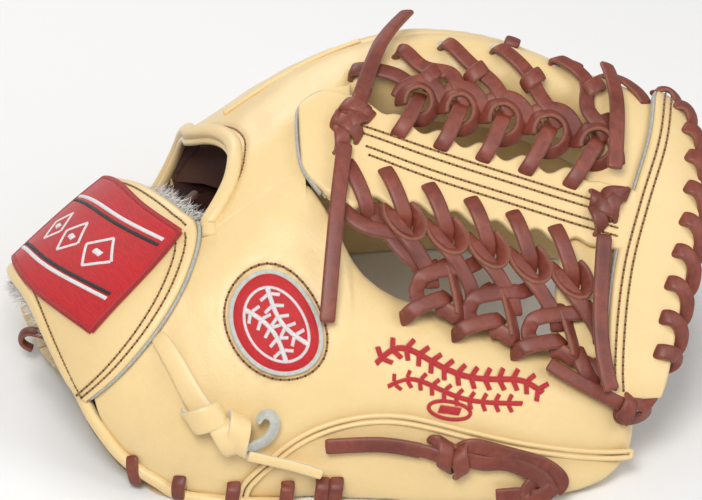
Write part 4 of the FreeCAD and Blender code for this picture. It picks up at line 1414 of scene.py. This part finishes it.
def tie_piece(route, wide, taper, thick=2.0, roll=None):
    """A tapering leather strip; taper and roll (degrees) are spread evenly over its length."""
    t = np.linspace(0, 1, 160)
    u, v, height = track(route, t).T
    line, normals = back.off(u, v, height), back.normal(u, v)
    if roll is not None:
        normals = rolled(line, normals, np.interp(t, np.linspace(0, 1, len(roll)), roll))
    line, normals = line[::3], normals[::3]
    size = np.interp(np.linspace(0, 1, len(line)), np.linspace(0, 1, len(taper)), taper)
    return swept(line, normals, lace_section(wide, thick), taper=size)


def thumb_tie_parts():
    """The thumb loop's pull strap, its folded knot and its curled end."""
    tongue = tie_piece([(1.70, 1.90, -0.6), (1.76, 1.80, 1.3), (1.87, 1.60, 2.0), (1.98, 1.38, 2.4),
                        (2.12, 1.14, 3.4)], 9.4, (0.45, 0.7, 0.82, 0.92, 1.0))
    folds = [wrap_run(2.20, 1.06, -62, 6.4, 4.6, 4.4, slant=-5, shift=(-2.4, 1.8), wide=10.5),
             wrap_run(2.31, 0.93, 10, 6.8, 4.8, 4.6, slant=4, shift=(0.6, -1.2), wide=9.6),
             wrap_run(2.38, 0.89, -38, 6.2, 4.4, 5.4, slant=6, shift=(2.2, 0.6), wide=9.0)]
    curl = tie_piece([(2.40, 0.78, 4.5), (2.52, 0.74, 5.0), (2.64, 0.78, 5.2), (2.74, 0.88, 5.6),
                      (2.75, 1.01, 6.0), (2.67, 1.07, 5.6), (2.60, 1.00, 5.2)], 6.6,
                     (0.7, 0.9, 1, 1, 0.9, 0.8), 1.9, (20, 40, 62, 75))
    return (laces("tie_strap", [tongue], [cream, suede]), laces("tie_knot", folds, [cream, suede]),
            laces("tie_curled_end", [curl], [suede, suede]))


def thumb_lacing():
    """Loose lace along the thumb: flat end, overhand knot, doubled run and a loop that turns back."""
    flat = lace_on([(4.14, 0.57, 2.6), (4.24, 0.56, 2.8), (4.36, 0.53, 3.6), (4.46, 0.50, 3.4)], wide=5.6)
    upper = [(4.52, 0.56, 2.0), (4.68, 0.66, 3.2), (4.88, 0.62, 2.6), (5.12, 0.54, 2.2), (5.34, 0.42, 2.8),
             (5.46, 0.26, 3.2), (5.42, 0.12, 2.2)]
    lower = [(4.30, 0.65, 1.6), (4.44, 0.61, 3.0), (4.68, 0.50, 3.0), (4.94, 0.49, 2.4), (5.18, 0.39, 3.0),
             (5.34, 0.20, 4.8), (5.38, 0.10, 3.4)]
    turned = [(5.36, 0.30, 2.4), (5.24, 0.27, 2.8), (5.16, 0.16, 3.2), (5.28, 0.10, 5.4), (5.38, 0.20, 6.2)]
    end = [(5.34, 0.06, 4.2), (5.22, 0.10, 3.4), (5.06, 0.13, 2.8), (4.88, 0.12, 2.6)]
    knot = [wrap_run(4.42, 0.54, -28, 4.6, 3.6, 3.0, slant=6),
            wrap_run(4.55, 0.51, 38, 4.4, 3.4, 3.6, slant=-6, shift=(0.6, -0.6))]
    return laces("thumb_lace_runs", [flat] + [lace_on(run) for run in (upper, lower, turned, end)] + knot)


def tip_lacing():
    """Lace that comes down behind the bar, knots at the thumb tip and ends on the thumb."""
    down = [(6.40, 1.95, -1.0), (6.36, 1.78, 2.2), (6.30, 1.58, 3.4), (6.22, 1.40, 3.2)]
    free = [(6.06, 1.42, 4.6), (5.90, 1.53, 4.6), (5.62, 1.70, 3.8), (5.34, 1.84, 3.0)]
    hitches = ([(5.60, 2.12, -1.0), (5.62, 2.02, 2.4), (5.66, 1.90, 3.0), (5.72, 1.78, 2.2),
                (5.76, 1.70, 0.6)], [(5.74, 2.04, -1.0), (5.80, 1.94, 1.6), (5.90, 1.86, 1.8),
                                     (6.00, 1.84, 0.6)])
    return laces("tip_knot", [
        lace_on(down), ring_run((6.13, 1.36), (0.12, 0.16), -30, 250, 3.4, 1.2, 0.0, 30),
        ring_run((6.13, 1.27), (0.14, 0.17), 120, 420, 3.2, 1.4, 0.02, 34),
        wrap_run(6.04, 1.38, 140, 4.2, 3.4, 4.0, slant=4), lace_on(free, wide=5.8), *map(lace_on, hitches)])


def heel_loops():
    runs = [lace_on([(u, -0.06, 1.0), (u, 0.0, 2.6), (u + 0.01, 0.10, 2.8), (u + 0.02, top - 0.04, 1.8),
                     (u + 0.02, top + 0.02, -0.8)], wide=5.6)
            for u, top in ((1.22, 0.34), (1.78, 0.24), (2.34, 0.22), (2.86, 0.2), (3.20, 0.22), (3.34, 0.22))]
    return laces("heel_lace_loops", runs)


def wrist_lace():
    """Short loop of the heel lace that sticks out at the wrist."""
    points = [(-121, 9, 17), (-127, 10, 19), (-133, 13, 18.5), (-136.5, 15, 14.5), (-136, 15.5, 10.5),
              (-132, 15, 8.0)]
    normals = [(0, 0, 1), (-0.2, 0, 1), (-0.6, 0, 0.8), (-1, 0, 0.1), (-0.9, 0, -0.5), (-0.5, 0, -0.8)]
    return laces("wrist_lace_loop", [lace_through(points, normals, wide=4.6, thick=2.4)])


def double_welt(name, marks, apart, wide=2.1, high=2.2):
    """Two raised ridges side by side along a seam."""
    line, normals = on_skin(marks, 1.0)
    side = unit(np.cross(normals, np.gradient(line, axis=0)))
    section = round_section(wide, high)
    return joined(name, [make(name, *swept(line + side * apart * way - normals * 0.25, normals, section),
                              cream) for way in (-0.5, 0.5)])


def finger_lace_turns(name, v, stops):
    """Turns that lace two neighbouring finger stalls together, low in the groove."""
    return laces(name, [lace_on([(u, v - 0.19, -1.6), (u, v - 0.13, 0.9), (u, v, -0.4), (u, v + 0.13, 0.9),
                                 (u, v + 0.19, -1.6)]) for u in stops])


def inner_loop(name, route):
    """Soft strap inside the glove that holds the thumb or the little finger."""
    return cord_on(name, route, 15, 2.2, lining, power=4, skin=front, count=16)


# ---- shells, with their seams pressed in ----

groove([(u, v, 0) for u, v in PIPING], 0.5, 3.4)
GROOVES.append((oval_line(1.05)[0], 0.7, 1.5))

near, far = weld(joined("near_shell", near_shell())), weld(joined("far_shell", far_shell()))
work_leather(near)
work_leather(far, seed=5)
near_tree = surface_tree(near)


def settled_row(name, routes):
    """Stitches laid on the finished shell."""
    rows = [on_skin(route, STITCH_PITCH) for route in routes]
    return thread_row(name, [(settle(points, ups, near_tree), ups) for points, ups in rows])


def skin_tree(skin):
    u, v = np.meshgrid(np.linspace(0.1, 3.6, 40), np.linspace(0.3, 7.9, 90), indexing="ij")
    return BVHTree.FromPolygons([Vector(p) for p in skin.at(u, v).reshape(-1, 3)], grid(40, 90))


def clear_hand_room(*shells):
    """Takes out the walls between finger stalls where they would run back into the hand's room."""
    outside, under = skin_tree(back), skin_tree(front)

    def in_room(face):
        c = face.calc_center_median() * 1000
        return c.x < -30 and -10 < c.y < 100 and min(outside.find_nearest(c)[3], under.find_nearest(c)[3]) > 5

    for obj in shells:
        edited(obj, lambda bm: bmesh.ops.delete(bm, geom=[f for f in bm.faces if in_room(f)],
                context="FACES"))


opening_stitches = settled_row("opening_stitches", opening_rows)
heel_stitches = settled_row("heel_stitches", heel_rows)
rest_on_floor(near, far, binding)
clear_hand_room(near, far)
lining_near, lining_far = halves(lining_piece)
fleece_near, fleece_far = halves(fleece_piece)
oval_parts, oval_seam = oval_badge()
label, *label_threads = strap_label()
tie_strap, tie_knot, tie_end = thumb_tie_parts()
heel_runs = heel_loops()
rest_on_floor(heel_runs)
piping = double_welt("thumb_piping", [(u, v, 0.0) for u, v in PIPING] + [(6.16, 0.385, -2.2)], 2.6)
finger_welt = cord_on("finger_welt", [(2.36, 4.84, 0.2), (2.7, 4.84, 0.2), (3.1, 4.86, 0.1),
                                      (3.6, 4.88, 0.0)], 2.4, 2.0, cream)
thumb_strap = inner_loop("thumb_loop_strap", [(1.9, 1.2, 10.5), (2.0, 1.5, 15.5), (2.1, 1.9, 17),
        (2.12, 2.4, 15)])
pinky_strap = inner_loop("pinky_loop_strap", [(1.95, 6.9, 10.5), (2.05, 6.6, 15), (2.1, 6.2, 16),
        (2.12, 5.9, 14)])


# ---- assembly: what each piece rides on or is baked in place by, its slot and the nodes that it replaces ----

ASSEMBLY = {(bend_thumb, "cream_leather"): ((near, "back_panel", "thumb_back_panel", "thumb_stall",
        "index_stall", "palm_panel"), (strap_near, "wrist_strap"), (finger_rim, "finger_hole_rim"),
                                            (binding, "edge_binding"), (strap_cut,), (strap_stitches,),
                                            (opening_stitches,), (heel_stitches,), (thumb_embroidery(),),
                                            (piping,), (thumb_strap, "thumb_loop")),
            (bend_pinky, "cream_leather"): ((far, "pinky_back_panel", "middle_stall", "ring_stall",
        "pinky_stall"), (strap_far,), (rim_far,), (finger_welt,), (pinky_strap, "pinky_loop")),
            (fixed, "cream_leather"): ((spine, "web_spine"), (backing, "web_backing"), (bar, "web_top_bar"),
                                       (post, "web_post"), (spine_cut,), (tab,), (tab_cut,), (bar_under,),
                                       (bar_cut,), (flap,), (spine_stitches,), (bar_stitches,), (holes,)),
            (bend_thumb, "brown_lining"): ((lining_near, "palm_lining", "thumb_heel_pad"),),
            (bend_pinky, "brown_lining"): ((lining_far, "pinky_heel_pad"),),
            (bend_thumb, "white_fleece"): ((fleece_near, "fleece_lining"),),
            (bend_pinky, "white_fleece"): ((fleece_far,),),
            (fixed, "brown_lace"): ((web_laces["upper_spine_laces"], "spine_upper_laces"),
                                    (web_laces["lower_spine_laces"], "spine_lower_laces"),
                                    (web_laces["upper_web_laces"], "upper_crossing_laces"),
                                    (web_laces["index_laces"], "index_edge_laces"),
                                    (bar_whip, "bar_edge_lace"), (crotch_knot, "crotch_knot"),
                                    (bar_knot, "bar_knot"), (wrist_lace(),),
                                    (finger_lace_turns("finger_lace_turns_near", 5.0, (5.0, 5.5)),
                                     "finger_laces_near")),
            (bend_thumb, "brown_lace"): ((web_laces["lower_web_laces"], "lower_crossing_laces"),
                                         (web_laces["thumb_web_laces"], "thumb_edge_laces"),
                                         (thumb_lacing(), "thumb_lace"), (tip_lacing(), "thumb_tip_lace"),
                                         (heel_runs, "heel_laces")),
            (bend_pinky, "brown_lace"): ((finger_lace_turns("finger_lace_turns_far", 7.0, (4.7, 5.2)),
                                          "finger_laces_far"),),
            (bend_thumb, "red_embroidery"): ((oval_parts[0], "oval_patch"),
        *((piece,) for piece in oval_parts[1:]), (oval_seam,)),
            (bend_thumb, "red_woven_patch"): ((label, "strap_patch"),
        *((piece,) for piece in label_threads)), (bend_thumb, "tan_lace"): ((tie_strap, "thumb_tie"),
        (tie_knot, "thumb_tie_knot"), (tie_end, "thumb_tie_end")),}
for (ride, slot), pieces in ASSEMBLY.items():
    for piece, *nodes in pieces:
        ride(piece, slot)
        if nodes:
            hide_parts(*nodes)
free_tail("thumb_lace_tail_lace", [(4.2, 0.56, 2.6), (3.95, 0.6, 2.8), (3.64, 0.61, 2.8), (3.24, 0.6, 2.6)],
          "thumb_lace_tail", bend_thumb)
free_tail("thumb_tie_thin_tail", [(2.5, 0.66, 5.4), (2.7, 0.56, 5.2), (2.95, 0.45, 5.2), (3.22, 0.33, 5.4)],
          "thumb_tie_tail", bend_thumb, 4.4, 1.8, [cream, suede])


# ---- floor, light and camera ----

def studio():
    bpy.context.scene.view_settings.view_transform = "Standard"
    floor_mat = Graph("studio_floor")
    floor_mat.set(Base_Color=(0.80, 0.80, 0.79, 1), Roughness=0.9)
    bpy.ops.mesh.primitive_plane_add(size=6)
    floor = bpy.context.object
    floor.name = "studio_floor"
    floor.data.materials.append(floor_mat.mat)
    world = bpy.data.worlds.new("studio")
    bpy.context.scene.world = world
    world.use_nodes = True
    sky = world.node_tree.nodes["Background"].inputs
    sky["Color"].default_value = (0.92, 0.94, 1.0, 1)
    sky["Strength"].default_value = 0.42
    lights = (("key", (-0.15, -0.75, 1.05), 0.5, 11.5, (1.0, 0.97, 0.93)),
              ("fill", (0.85, -0.35, 0.75), 0.7, 4.0, (0.95, 0.97, 1.0)),
              ("rim", (-0.5, 0.85, 0.75), 0.6, 5.0, (1.0, 0.98, 0.95)))
    for name, place, size, power, colour in lights:
        light = bpy.data.lights.new(name, "AREA")
        light.size = size
        light.energy = power
        light.color = colour
        obj = bpy.data.objects.new(name, light)
        bpy.context.collection.objects.link(obj)
        obj.location = place
        aim = Vector((0, 0.02, 0.06)) - Vector(place)       # at the middle of the glove
        obj.rotation_euler = aim.to_track_quat("-Z", "Y").to_euler()


def camera():
    """Looks along +Y from 35 degrees above, framed as close as the object allows."""
    elevation, far, sensor = math.radians(35), 1.6, 36
    view_wide, aim_height = 0.290083, 0.0562        # metres, across and up the view at the object
    cam = bpy.data.cameras.new("camera")
    obj = bpy.data.objects.new("camera", cam)
    bpy.context.collection.objects.link(obj)
    back_way = Vector((0, -math.cos(elevation), math.sin(elevation)))
    up = Vector((0, math.sin(elevation), math.cos(elevation)))
    obj.location = up * aim_height + back_way * far
    obj.rotation_euler = (math.radians(90) - elevation, 0, 0)
    cam.sensor_width = sensor
    cam.lens = sensor * far / view_wide
    bpy.context.scene.camera = obj


studio()
camera()
